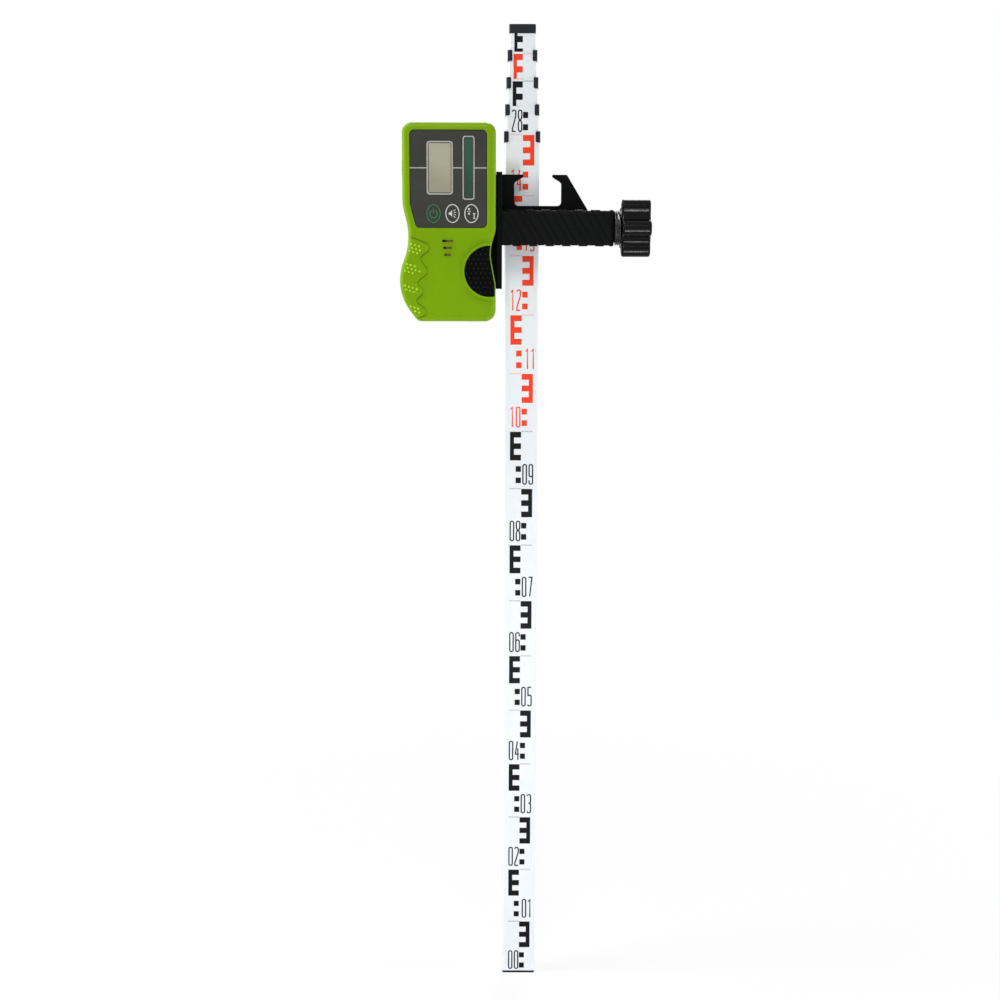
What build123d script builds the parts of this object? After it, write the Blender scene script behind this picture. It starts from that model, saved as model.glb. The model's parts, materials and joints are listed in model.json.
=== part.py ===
from build123d import *
import os
from math import cos, pi, sin, sqrt

# A laser receiver held by a rod clamp on a closed five-section telescopic levelling staff.
# Millimetres, +Z up. The origin is the centre of the foot's underside. The graduated face of the
# staff looks along -Y, and X runs to the right for someone who reads it.

os.makedirs("parts", exist_ok=True)

# Clearances
RUN_GAP = 0.4  # between pieces that slide past each other
SEAT_GAP = 0.3  # between pieces of different bodies that rest on each other
SHAFT_FIT = 0.08  # radial, shafts that turn and plungers that slide
PRESS_GAP = 0.05  # between pieces that are fastened together

# Staff tubes, from the widest, section 1, to the narrowest
SECTION_COUNT = 5
STAFF_HEIGHT = 1680.0
SECTION_1_WIDTH = 58.0
SECTION_1_DEPTH = 34.0
TUBE_WALL = 1.2
TUBE_GAP = 0.7
TUBE_CORNER = 3.0
BORE_CORNER = 1.5
COLLAR_PITCH = 44.0  # how much further each closed section stands out
TOP_STAND = 42.0  # from the top of section 4 to the top of the cap
LOCK_LAPS = (178.2, 170.2, 123.2, 134.2)  # lower end of sections 2 to 5 to the hole that locks them out
SHOE_HEIGHT = 4.5
SHOE_PLUG = 12.0
SHOE_EDGE = 1.0
TOP_CAP_HEIGHT = 15.0
TOP_CAP_ROOF = 3.0
TOP_CAP_WALL = 0.8
TOP_CAP_ROUND = 1.5

# Collars at the tops of sections 1 to 4, with the sprung lock on the back of each
COLLAR_HEIGHT = 18.0
COLLAR_WALL = 1.5
COLLAR_TAB = 6.5  # how far a tab wraps onto the graduated face
COLLAR_LIP = 3.0  # part of the height that stands on the end of the tube
TAB_CORNER = 2.5
HOUSING_WIDTH = 22.0
HOUSING_DEPTH = 10.0
HOUSING_CORNER = 2.0
STEM_RADIUS = 2.5
POCKET_RADIUS = 4.6
POCKET_ROOF = 2.0
FLANGE_RADIUS = 4.2
FLANGE_THICK = 1.6
HEAD_RADIUS = 6.5
HEAD_THICK = 6.0
HEAD_FLUTES = 10
HEAD_FLUTE_RADIUS = 1.2
HEAD_ROUND = 0.5
LOCK_SPRING_WALL = 1.0
LOCK_TRAVEL = 3.0

# Clamp, measured from the lead screw's axis in height and from the staff's centre across
CLAMP_DROP = 159.0  # from the top of section 1 to the lead screw
FACE_CLEARANCE = 4.6  # from the staff's face to the moving jaw's plate
PLATE_THICK = 10.0
BEAM_INSET = 4.2  # from the staff's edge to the beam's left end
BEAM_LENGTH = 179.2
BEAM_HEIGHT = 53.0
BEAM_DEPTH = 33.0
BEAM_WALL = 4.0
BEAM_END_WALL = 6.0
BEAM_CORNER = 4.0
BEAM_BORE_CORNER = 2.0
SLEEVE_WALL = 2.0
SLEEVE_BACK = 2.0  # how far the sleeve stops short of the beam's back
BAND_RISE = 1.4
BAND_PITCH = 27.5
BAND_COUNT = 7
BAND_LEAN = 0.6  # sideways run of a band for each unit of fall
SEAM_WIDTH = 1.6
SEAM_DEPTH = 1.2
GRIP_GAP = 0.3
JAW_PAD = 2.2
PAD_INSET = 2.0
ARM_THICK = 13.0
ARM_BACK = 7.0  # how far the jaw arms reach behind the staff
ARM_ROUND = 3.0
LIP_REACH = 7.0
LIP_GAP = 0.6
JAW_HALF_HEIGHT = 25.0
JAW_TRAVEL = 25.0

# Hooks above the beam
HORN_TOP = 87.5
WINDOW_FLOOR = 36.2
WINDOW_LEFT = -13.2
WINDOW_RIGHT = 65.6
WINDOW_CORNER = 7.0
HOOK_REACH = 15.0
HOOK_TIP = 4.0
HOOK_DROP = 9.5
HOOK_CORNER = 6.0
TIP_CORNER = 1.2
HORN_TOP_WIDTH = 9.3
HORN_FOOT = 110.4
HORN_SHOULDER = 29.3
RAIL_LOW = 15.0
RAIL_RIGHT = 103.0
PLATE_STEP = -20.0
PLATE_CORNER = 2.5

# Lead screw, nut, end cap, spring and star knob
LEAD_RADIUS = 6.0
JOURNAL_RADIUS = 4.0
JOURNAL_DEPTH = 4.0
THRUST_RADIUS = 10.0
THRUST_THICK = 4.0
WASHER_THICK = 1.6
WASHER_RADIUS = 11.0
CARRIAGE_LEFT = 70.0
CARRIAGE_LENGTH = 30.0
NECK_HALF_HEIGHT = 9.0
NUT_RADIUS = 10.0
END_CAP_PLATE = 5.5
END_CAP_SPIGOT = 2.0
END_CAP_CORNER = 8.0
END_CAP_EDGE = 3.0
END_CAP_BOSS = 6.0
END_CAP_BOSS_RADIUS = 23.5
END_CAP_BOSS_ROUND = 3.0
SPRING_RADIUS = 27.4
SPRING_WIRE = 1.2
SPRING_TURNS = 3
SPRING_QUARTERS = 4  # pairs of arcs in a turn
SPRING_SAMPLES = 48  # points measured in a turn
SPRING_SPACE = 12.5  # from the cap's shoulder to the knob's left face
KNOB_LENGTH = 48.0
KNOB_LOBES = 5
KNOB_RADIUS = 48.75
LOBE_RADIUS = 13.0
FLUTE_RADIUS = 9.0
KNOB_CORE_RADIUS = 31.0
KNOB_ROUND = 3.5
KNOB_WALL = 5.0
KNOB_ROOF = 6.0
KNOB_HUB_RADIUS = 15.0
KNOB_BORE_DEPTH = 36.0

# L-bracket between the clamp and the receiver, and its screws
BRACKET_THICK = 10.0
BRACKET_TOP = 91.0
BRACKET_BOTTOM = -100.0
BRACKET_ROUND = 2.5
LEG_THICK = 7.6
LEG_TOP = 63.0
LEG_BOTTOM = -57.0
LEG_REACH = 30.0  # how far the leg runs past the captive screw
LEG_RIB = 10.0  # width of the rib that runs on down the flange below the leg
LEG_CORNER = 8.0
SCREW_RADIUS = 2.5
SCREW_HEAD_RADIUS = 4.5
SCREW_HEAD = 4.0
FLANGE_SCREW_SPACING = 36.0
JAW_SCREW_X = -26.0
JAW_SCREW_HEIGHTS = (-14.0, 6.0)
RAIL_SCREW = (20.0, 19.0)
CAPTIVE_RADIUS = 3.175  # quarter-inch camera thread
CAPTIVE_HEAD_RADIUS = 15.0
CAPTIVE_HEAD = 12.0
CAPTIVE_GRIP = 8.0  # length of shank in the receiver
CAPTIVE_FLUTES = 12
CAPTIVE_FLUTE_RADIUS = 2.2
RING_RADIUS = 6.5
RING_THICK = 1.2
RING_POCKET = 1.8
PIN_RADIUS = 3.0
PIN_SPACING = 80.0
PIN_GRIP = 5.0

# Receiver case. Its outlines, and the places on it, run across and up from the case's centre, in
# hundredths of its half width and half height. Each outline's corner has its radius.
RECEIVER_DEPTH = 60.0
RECEIVER_GAP = 0.4
RECEIVER_RISE = 8.0  # case centre above the lead screw
HALF_WIDTH = 76.25
HALF_HEIGHT = 160.25
ACROSS = HALF_WIDTH / 100
UP = HALF_HEIGHT / 100
SWEEP = HALF_HEIGHT * UP / HALF_WIDTH  # the sides' long curves are flatter on a taller or narrower case
TOP_CORNER = 16.5
CASE_OUTLINE = (
    ((-100, 100), TOP_CORNER),
    ((-100, 18.0), 23.75 * SWEEP),
    ((-81.3, -17.7), 31.2 * SWEEP),
    ((-120.5, -66.2), 24.65 * SWEEP),
    ((-67.7, -100), 12.0),
    ((100, -100), 18.0),
    ((100, -62.7), 17.8 * SWEEP),
    ((86.4, -28.4), 20.8 * SWEEP),
    ((100, -8.1), 11.9 * SWEEP),
    ((100, 100), TOP_CORNER),
)
CASE_WALL = 3.0
FRONT_WALL = 5.0
FRONT_ROUND = 8.0
REAR_ROUND = 6.0
FRONT_SHARE = 29.5  # depth of the front case
SEAL_THICK = 1.0
SEAL_INSET = 0.8
SEAL_WIDTH = 1.6
MARK_RISE = 0.8
MARK_HEIGHT = 23.0
MARK_DEPTH = 16.0

# Dark panel with its display, sensor window and buttons
PANEL_OUTLINE = (
    ((-83.8, 92.6), 8.0),
    ((-83.8, 19.3), 20.0),
    ((-70.2, -5.0), 8.0),
    ((81.4, -5.0), 8.0),
    ((81.4, 92.6), 8.0),
)
PANEL_POCKET = 2.8
PANEL_THICK = 2.2
PANEL_LIP = 0.8
GRADE_LINE = 54.85 * UP  # height of the reference line above the case's centre
LCD_X = -19.4 * ACROSS
LCD_WIDTH = 46.95 * ACROSS
LCD_HEIGHT = 48.9 * UP
LCD_FLANGE = 3.0
LCD_FLANGE_THICK = 3.0
SENSOR_X = 42.0 * ACROSS
SENSOR_WIDTH = 17.8 * ACROSS
SENSOR_HEIGHT = 59.7 * UP
WINDOW_FLANGE = 1.5
WINDOW_FLANGE_THICK = 1.5
GLASS_SETBACK = 0.2
WINDOW_CORNER_RADIUS = 2.0
BUTTON_LABELS = ("power_button", "sound_button", "precision_button")
BUTTON_X = -32.9 * ACROSS  # leftmost button
BUTTON_PITCH = 40.5 * ACROSS
BUTTON_HEIGHT = 9.4 * UP
BUTTON_HALF_WIDTH = 15.5 * ACROSS
BUTTON_HALF_HEIGHT = 9.6 * UP
BUTTON_PROUD = 0.3
BUTTON_FLANGE = 2.0
BUTTON_FLANGE_THICK = 2.0
BUTTON_STEM_RADIUS = 4.0
BUTTON_TRAVEL = 1.5

# Grips, speaker slots
GRIP_RISE = 1.0
GROOVE_WIDTH = 1.8
GROOVE_DEPTH = 1.4
FINGER_EDGE = (
    (-124.6, -6.5),
    (-35.0, -23.8),
    (-66.2, -35.9),
    (-43.3, -49.3),
    (-72.8, -60.2),
    (-52.5, -69.9),
    (-76.7, -78.6),
    (-41.5, -91.7),
    (-124.6, -104.8),
)
FINGER_ROUND = 7.0
DOT_RADIUS = 1.9
DOT_RISE = 1.2
DOT_STEP = (6.3, -1.9)  # along a row of dots
DOT_ROW = (1.6, -6.4)  # from one row to the next
DOT_PADS = (
    ((-80.8, -21.3), ((0, 3), (0, 3), (-1, 3))),
    ((-90.6, -41.4), ((0, 3), (0, 4), (-1, 3))),
    ((-94.4, -63.3), ((0, 4), (0, 3))),
    ((-83.1, -84.4), ((0, 3), (1, 2))),
)
THUMB_X = 87.2 * ACROSS
THUMB_HEIGHT = -48.7 * UP
THUMB_RADIUS = 26.0 * UP
THUMB_THICK = 2.0
THUMB_EDGE = 1.5
THUMB_RIM = 5.0
THUMB_RIDGE_GAP = 3.0
THUMB_RIDGE = 2.5
SLOT_X = -2.9 * ACROSS
SLOT_HEIGHT = -18.2 * UP
SLOT_PITCH = 6.9 * UP
SLOT_LENGTHS = (18.6, 15.3, 10.6)
SLOT_WIDTH = 4.2
SLOT_RIM = 1.7
SLOT_RIM_RISE = 0.8

# Inside the receiver
BOARD_HALF_WIDTH = 70.8 * ACROSS
BOARD_TOP = 86.1 * UP
BOARD_BOTTOM = -39.9 * UP
BOARD_THICK = 1.6
BOARD_DEPTH = 18.0  # from the case's front to the board
BOARD_POST_RADIUS = 4.0
BOARD_POST_INSET = 5.0
BOARD_CORNER = 2.0
SWITCH_SIZE = 6.0
SWITCH_THICK = 4.0
SENSOR_SPACER = 5.0
PHOTODIODE_COUNT = 10
PHOTODIODE_SIZE = 6.0
BUZZER_RADIUS = 12.0
SMALL_SCREW_RADIUS = 1.5
SMALL_HEAD_RADIUS = 2.9
SMALL_HEAD = 2.4
BOSS_RADIUS = 5.0
CASE_SCREW_BITE = 12.0  # length of thread in the front case
CROSS_LENGTH = 3.8
CROSS_WIDTH = 1.0
CROSS_DEPTH = 1.4
CASE_SCREWS = (
    (-81.3, 91.1),
    (81.3, 91.1),
    (-81.3, 21.2),
    (81.3, 21.2),
    (-57.7, -91.7),
    (74.8, -89.9),
)
INSERT_RADIUS = 6.0
INSERT_LENGTH = 9.0
INSERT_BOSS_RADIUS = 10.0

# Battery bay, its cells and its hinged hatch
CELL_RADIUS = 7.25
CELL_LENGTH = 50.5
CELL_COLUMNS = 2
CELL_ROWS = 2
CELL_PITCH = 15.6
CELL_SPARE = 5.0  # room for the contact springs
CONTACT_THICK = 1.0
CONTACT_NUB_RADIUS = 2.5
BAY_HEIGHT = -66.1 * UP
BAY_WALL = 4.0
HATCH_LAP = 1.5
HATCH_CORNER = 3.0
HATCH_RIBS = 4
HATCH_RIB_LENGTH = 34.0
HATCH_RIB_WIDTH = 1.8
HATCH_RIB_PITCH = 4.2
HATCH_RIB_RISE = 0.8
HATCH_RIB_DROP = 12.0  # from the hatch's top edge to the middle of its ribs
HINGE_DROP = 7.5  # from the bay's lower edge to the hinge axis
HINGE_OUT = 1.0  # hinge axis outside the case's back
BARREL_RADIUS = 3.0
BARREL_LENGTH = 60.0
EAR_THICK = 6.0
HINGE_PIN_RADIUS = 1.5
HINGE_BLOCK_DEPTH = 7.0

# Places that follow from the sizes above
COLLAR_1_TOP = STAFF_HEIGHT - TOP_STAND - (SECTION_COUNT - 2) * COLLAR_PITCH
CLAMP_HEIGHT = COLLAR_1_TOP - CLAMP_DROP
FACE_Y = -SECTION_1_DEPTH / 2
STAFF_EDGE = SECTION_1_WIDTH / 2
MOVING_PLATE_BACK = FACE_Y - FACE_CLEARANCE
MOVING_PLATE_FRONT = MOVING_PLATE_BACK - PLATE_THICK
FIXED_PLATE_BACK = MOVING_PLATE_FRONT - RUN_GAP
BEAM_BACK = FIXED_PLATE_BACK - PLATE_THICK
SCREW_Y = BEAM_BACK - BEAM_DEPTH / 2
BEAM_FRONT = BEAM_BACK - BEAM_DEPTH
ARM_END = -FACE_Y + ARM_BACK
ARM_INNER = STAFF_EDGE + GRIP_GAP + JAW_PAD
ARM_OUTER = ARM_INNER + ARM_THICK
BEAM_LEFT = -STAFF_EDGE - BEAM_INSET
BEAM_RIGHT = BEAM_LEFT + BEAM_LENGTH
END_CAP_RIGHT = BEAM_RIGHT + END_CAP_PLATE
KNOB_LEFT = END_CAP_RIGHT + SPRING_SPACE
BRACKET_LEFT = BEAM_LEFT - BRACKET_THICK
BRACKET_FRONT = BEAM_FRONT - SLEEVE_WALL - BAND_RISE
LEG_FRONT = BEAM_BACK - LEG_THICK
RECEIVER_BACK = LEG_FRONT - RECEIVER_GAP
RECEIVER_FRONT = RECEIVER_BACK - RECEIVER_DEPTH
RECEIVER_X = BRACKET_LEFT - RECEIVER_GAP - HALF_WIDTH
RECEIVER_Z = CLAMP_HEIGHT + RECEIVER_RISE
CAPTIVE_Z = CLAMP_HEIGHT + (LEG_TOP + LEG_BOTTOM) / 2
FRONT_SPLIT = RECEIVER_FRONT + FRONT_SHARE
REAR_SPLIT = FRONT_SPLIT + SEAL_THICK
WALL_INSIDE = RECEIVER_FRONT + FRONT_WALL
PANEL_BACK = RECEIVER_FRONT + PANEL_POCKET
PANEL_FRONT = PANEL_BACK - PANEL_THICK
GLASS_FRONT = PANEL_FRONT + GLASS_SETBACK
BOARD_FRONT = RECEIVER_FRONT + BOARD_DEPTH
BOARD_BACK = BOARD_FRONT + BOARD_THICK
BAY_SPAN = CELL_COLUMNS * CELL_LENGTH + 2 * CONTACT_THICK + CELL_SPARE
BAY_RISE = CELL_ROWS * CELL_PITCH + 2 * SEAT_GAP
BAY_FLOOR = RECEIVER_BACK - CASE_WALL - 2 * CELL_RADIUS - 2 * SEAT_GAP
HINGE_HEIGHT = BAY_HEIGHT - BAY_RISE / 2 - HINGE_DROP
HINGE_Y = RECEIVER_BACK + HINGE_OUT


def write(piece, label):
    piece.label = label
    export_step(piece, f"parts/{label}.step")


def section_size(number):
    shrink = 2 * (TUBE_WALL + TUBE_GAP) * (number - 1)
    return SECTION_1_WIDTH - shrink, SECTION_1_DEPTH - shrink


def section_bottom(number):
    if number == 1:
        return SHOE_HEIGHT
    return SHOE_HEIGHT + SHOE_PLUG + SEAT_GAP + (number - 2) * COLLAR_PITCH


def collar_top(number):
    return COLLAR_1_TOP + (number - 1) * COLLAR_PITCH


def section_top(number):
    if number == SECTION_COUNT:
        return STAFF_HEIGHT - TOP_CAP_ROOF
    return collar_top(number) - COLLAR_LIP


def lock_height(number):
    return collar_top(number) - COLLAR_HEIGHT / 2


def facing_back(x, y, z):
    """A plane whose normal runs along +Y, away from the reader."""
    return Plane(origin=(x, y, z), x_dir=(1, 0, 0), z_dir=(0, 1, 0))


def facing_reader(y):
    """A plane at depth y whose normal runs along -Y, centred on the lead screw's height."""
    return Plane(origin=(0, y, CLAMP_HEIGHT), x_dir=(1, 0, 0), z_dir=(0, -1, 0))


def across(x):
    """A plane square to the lead screw, centred on it, with its normal along +X."""
    return Plane(origin=(x, SCREW_Y, CLAMP_HEIGHT), x_dir=(0, 1, 0), z_dir=(1, 0, 0))


def case_plane(y):
    """A plane at depth y, centred on the receiver, with its normal along -Y."""
    return Plane(origin=(RECEIVER_X, y, RECEIVER_Z), x_dir=(1, 0, 0), z_dir=(0, -1, 0))


def on_case(place):
    """A place on the case, from hundredths of its half width and half height."""
    return place[0] * ACROSS, place[1] * UP


def outline_sketch(corners):
    """A face bounded by corners, each rounded with its own radius."""
    with BuildSketch() as outline:
        with BuildLine():
            points = [point for point, radius in corners]
            radii = [radius for point, radius in corners]
            FilletPolyline(*points, radius=radii, close=True)
        make_face()
    return outline.sketch


def case_sketch(corners, inset=0.0):
    """An outline on the case, drawn in by an inset."""
    with BuildSketch() as outline:
        add(outline_sketch([(on_case(place), radius) for place, radius in corners]))
        if inset > 0:
            offset(amount=-inset, mode=Mode.REPLACE)
    return outline.sketch


# Staff: tubes that nest in each other
def build_section(number):
    width, depth = section_size(number)
    bottom = section_bottom(number)
    with BuildPart() as section:
        with BuildSketch(Plane.XY.offset(bottom)):
            RectangleRounded(width, depth, TUBE_CORNER)
            RectangleRounded(width - 2 * TUBE_WALL, depth - 2 * TUBE_WALL, BORE_CORNER, mode=Mode.SUBTRACT)
        extrude(amount=section_top(number) - bottom)
        if number < SECTION_COUNT:
            with Locations(facing_back(0, depth / 2, lock_height(number))):
                Hole(POCKET_RADIUS, 2 * TUBE_WALL)
        if number > 1:
            lock_hole = bottom + LOCK_LAPS[number - 2]
            with Locations(facing_back(0, depth / 2, lock_hole)):
                Hole(STEM_RADIUS + RUN_GAP, 2 * TUBE_WALL)
    write(section.part, f"section_{number}")


# Plugs that close the lower ends of sections 2 to 5, each a seat for the next section
def build_plug(number):
    width, depth = section_size(number)
    bore = 2 * (TUBE_WALL + PRESS_GAP)
    height = COLLAR_PITCH - SEAT_GAP
    with BuildPart() as plug:
        with BuildSketch(Plane.XY.offset(section_bottom(number))):
            RectangleRounded(width - bore, depth - bore, BORE_CORNER)
        extrude(amount=height)
    write(plug.part, f"section_{number}_plug")


# Collar with two tabs round the graduated face, a lip on the tube's end and a lock housing on the back
def build_collar(number):
    width, depth = section_size(number)
    base = collar_top(number) - COLLAR_HEIGHT
    back = depth / 2 + COLLAR_WALL
    with BuildPart() as collar:
        with BuildSketch(Plane.XY.offset(base)):
            RectangleRounded(width + 2 * COLLAR_WALL, depth + 2 * COLLAR_WALL, TUBE_CORNER + COLLAR_WALL)
            RectangleRounded(width, depth, TUBE_CORNER, mode=Mode.SUBTRACT)
            with Locations((0, -back)):
                Rectangle(width - 2 * COLLAR_TAB, 2 * COLLAR_WALL, mode=Mode.SUBTRACT)
        extrude(amount=COLLAR_HEIGHT)
        fillet(collar.edges().filter_by(Axis.Y).sort_by(Axis.Y)[:4], TAB_CORNER)
        with BuildSketch(Plane.XY.offset(section_top(number))):
            RectangleRounded(width, depth, TUBE_CORNER)
            RectangleRounded(width - 2 * TUBE_WALL, depth - 2 * TUBE_WALL, BORE_CORNER, mode=Mode.SUBTRACT)
            with Locations((0, -depth / 2)):
                Rectangle(width, 2 * TUBE_CORNER, mode=Mode.SUBTRACT)
        extrude(amount=COLLAR_LIP)
        with BuildSketch(Plane.XY.offset(base)):
            with Locations((0, back + HOUSING_DEPTH / 2)):
                Rectangle(HOUSING_WIDTH, HOUSING_DEPTH)
        extrude(amount=COLLAR_HEIGHT)
        fillet(collar.edges().filter_by(Axis.Z).sort_by(Axis.Y)[-2:], HOUSING_CORNER)
        with Locations(facing_back(0, back + HOUSING_DEPTH, lock_height(number))):
            Hole(STEM_RADIUS + SHAFT_FIT, HOUSING_DEPTH + 2 * COLLAR_WALL)
        with Locations(facing_back(0, back + HOUSING_DEPTH - POCKET_ROOF, lock_height(number))):
            Hole(POCKET_RADIUS, HOUSING_DEPTH + COLLAR_WALL)
    write(collar.part, f"collar_{number}")


# Lock plunger with its pull knob, pushed home by a spring under the pocket's roof. The spring has the length that it
# has when the knob is pulled.
def build_lock(number):
    depth = section_size(number)[1]
    tip = section_size(number + 1)[1] / 2 + RUN_GAP
    flange = depth / 2 + SEAT_GAP
    roof = depth / 2 + COLLAR_WALL + HOUSING_DEPTH - POCKET_ROOF
    head = roof + POCKET_ROOF + SEAT_GAP
    height = lock_height(number)
    with BuildPart() as lock_button:
        with BuildSketch(facing_back(0, tip, height)):
            Circle(STEM_RADIUS)
        extrude(amount=head - tip)
        with BuildSketch(facing_back(0, flange, height)):
            Circle(FLANGE_RADIUS)
        extrude(amount=FLANGE_THICK)
        with BuildSketch(facing_back(0, head, height)):
            Circle(HEAD_RADIUS)
            with PolarLocations(HEAD_RADIUS, HEAD_FLUTES):
                Circle(HEAD_FLUTE_RADIUS, mode=Mode.SUBTRACT)
        extrude(amount=HEAD_THICK)
        fillet(lock_button.faces().sort_by(Axis.Y)[-1].edges(), HEAD_ROUND)
    write(lock_button.part, f"lock_button_{number}")
    sleeve_start = flange + FLANGE_THICK + LOCK_TRAVEL + PRESS_GAP
    with BuildPart() as lock_spring:
        with BuildSketch(facing_back(0, sleeve_start, height)):
            Circle(STEM_RADIUS + SHAFT_FIT + LOCK_SPRING_WALL)
            Circle(STEM_RADIUS + SHAFT_FIT, mode=Mode.SUBTRACT)
        extrude(amount=roof - PRESS_GAP - sleeve_start)
    write(lock_spring.part, f"lock_spring_{number}")


for section_number in range(1, SECTION_COUNT + 1):
    build_section(section_number)
    if section_number > 1:
        build_plug(section_number)
    if section_number < SECTION_COUNT:
        build_collar(section_number)
        build_lock(section_number)

# Foot with a plug into section 1
with BuildPart() as base_shoe:
    with BuildSketch():
        RectangleRounded(SECTION_1_WIDTH, SECTION_1_DEPTH, TUBE_CORNER)
    extrude(amount=SHOE_HEIGHT)
    chamfer(base_shoe.faces().sort_by(Axis.Z)[0].edges(), SHOE_EDGE)
    shoe_bore = 2 * (TUBE_WALL + PRESS_GAP)
    with BuildSketch(Plane.XY.offset(SHOE_HEIGHT)):
        RectangleRounded(SECTION_1_WIDTH - shoe_bore, SECTION_1_DEPTH - shoe_bore, BORE_CORNER)
    extrude(amount=SHOE_PLUG)
write(base_shoe.part, "base_shoe")

# Cap over the top of section 5
top_width, top_depth = section_size(SECTION_COUNT)
with BuildPart() as top_cap:
    with BuildSketch(Plane.XY.offset(STAFF_HEIGHT - TOP_CAP_HEIGHT)):
        wall = 2 * TOP_CAP_WALL
        RectangleRounded(top_width + wall, top_depth + wall, TUBE_CORNER + TOP_CAP_WALL)
    extrude(amount=TOP_CAP_HEIGHT)
    fillet(top_cap.faces().sort_by(Axis.Z)[-1].edges(), TOP_CAP_ROUND)
    with BuildSketch(Plane.XY.offset(STAFF_HEIGHT - TOP_CAP_HEIGHT)):
        RectangleRounded(top_width + 2 * PRESS_GAP, top_depth + 2 * PRESS_GAP, TUBE_CORNER)
    extrude(amount=TOP_CAP_HEIGHT - TOP_CAP_ROOF, mode=Mode.SUBTRACT)
write(top_cap.part, "top_cap")

# Clamp beam: a box with a slot in its back for the moving jaw
slot_left = CARRIAGE_LEFT - 2 * RUN_GAP
slot_right = CARRIAGE_LEFT + CARRIAGE_LENGTH + JAW_TRAVEL + 2 * RUN_GAP
bore_height = BEAM_HEIGHT - 2 * BEAM_WALL
bore_depth = BEAM_DEPTH - 2 * BEAM_WALL
jaw_screw_places = [(JAW_SCREW_X, height) for height in JAW_SCREW_HEIGHTS] + [RAIL_SCREW]
flange_screw_places = [(0, -FLANGE_SCREW_SPACING / 2), (0, FLANGE_SCREW_SPACING / 2)]
with BuildPart() as clamp_beam:
    with BuildSketch(across(BEAM_LEFT)):
        RectangleRounded(BEAM_DEPTH, BEAM_HEIGHT, BEAM_CORNER)
    extrude(amount=BEAM_LENGTH)
    with BuildSketch(across(BEAM_LEFT + BEAM_END_WALL)):
        RectangleRounded(bore_depth, bore_height, BEAM_BORE_CORNER)
    extrude(amount=BEAM_LENGTH - BEAM_END_WALL, mode=Mode.SUBTRACT)
    with BuildSketch(facing_reader(BEAM_BACK)):
        with Locations(((slot_left + slot_right) / 2, 0)):
            Rectangle(slot_right - slot_left, 2 * (NECK_HALF_HEIGHT + RUN_GAP))
        with Locations(*jaw_screw_places):
            Circle(SCREW_RADIUS + PRESS_GAP)
    extrude(amount=BEAM_WALL, mode=Mode.SUBTRACT)
    with BuildSketch(across(BEAM_LEFT + BEAM_END_WALL - JOURNAL_DEPTH - RUN_GAP)):
        Circle(JOURNAL_RADIUS + SHAFT_FIT)
    extrude(amount=JOURNAL_DEPTH + RUN_GAP, mode=Mode.SUBTRACT)
    with BuildSketch(across(BEAM_LEFT)):
        with Locations(*flange_screw_places):
            Circle(SCREW_RADIUS + PRESS_GAP)
    extrude(amount=BEAM_END_WALL, mode=Mode.SUBTRACT)
write(clamp_beam.part, "clamp_beam")


# Rubber sleeve round the beam's front, top and bottom
def sleeve_profile(thickness):
    with BuildSketch() as profile:
        RectangleRounded(BEAM_DEPTH + 2 * thickness, BEAM_HEIGHT + 2 * thickness, BEAM_CORNER + thickness)
        rim = 2 * PRESS_GAP
        RectangleRounded(BEAM_DEPTH + rim, BEAM_HEIGHT + rim, BEAM_CORNER, mode=Mode.SUBTRACT)
        with Locations((BEAM_DEPTH / 2 - SLEEVE_BACK, 0)):
            Rectangle(
                BEAM_DEPTH, BEAM_HEIGHT + 4 * thickness, align=(Align.MIN, Align.CENTER), mode=Mode.SUBTRACT
            )
    return profile.sketch


def slants(left, right):
    """Slanted strips on the beam's front, one for each band, between two distances from the band's middle."""
    reach = BEAM_HEIGHT / 2 + SLEEVE_WALL + 2 * BAND_RISE
    lean = BAND_LEAN * reach
    first = BEAM_LEFT + BEAM_LENGTH / 2 - (BAND_COUNT - 1) * BAND_PITCH / 2
    with BuildSketch() as strips:
        with Locations(*[(first + index * BAND_PITCH, 0) for index in range(BAND_COUNT)]):
            Polygon(
                (left - lean, reach),
                (left + lean, -reach),
                (right + lean, -reach),
                (right - lean, reach),
                align=None,
            )
    return strips.sketch


# Slanted bands that stand proud of the sleeve
band_edge = BAND_PITCH / 4
with BuildPart() as sleeve_bands:
    with BuildSketch(across(BEAM_LEFT)):
        add(sleeve_profile(SLEEVE_WALL + BAND_RISE))
    extrude(amount=BEAM_LENGTH)
    with BuildSketch(facing_reader(BEAM_BACK)):
        add(slants(-band_edge, band_edge))
    extrude(amount=2 * BEAM_DEPTH, mode=Mode.INTERSECT)

# Seams along both edges of each band
with BuildPart() as sleeve_seams:
    with BuildSketch(across(BEAM_LEFT)):
        add(sleeve_profile(SLEEVE_WALL + BAND_RISE))
        add(sleeve_profile(SLEEVE_WALL - SEAM_DEPTH), mode=Mode.SUBTRACT)
    extrude(amount=BEAM_LENGTH)
    with BuildSketch(facing_reader(BEAM_BACK)):
        add(slants(-band_edge - SEAM_WIDTH, -band_edge))
        add(slants(band_edge, band_edge + SEAM_WIDTH))
    extrude(amount=2 * BEAM_DEPTH, mode=Mode.INTERSECT)

with BuildPart() as grip_sleeve:
    with BuildSketch(across(BEAM_LEFT)):
        add(sleeve_profile(SLEEVE_WALL))
    extrude(amount=BEAM_LENGTH)
    add(sleeve_bands.part)
    add(sleeve_seams.part, mode=Mode.SUBTRACT)
write(grip_sleeve.part, "grip_sleeve")

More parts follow.
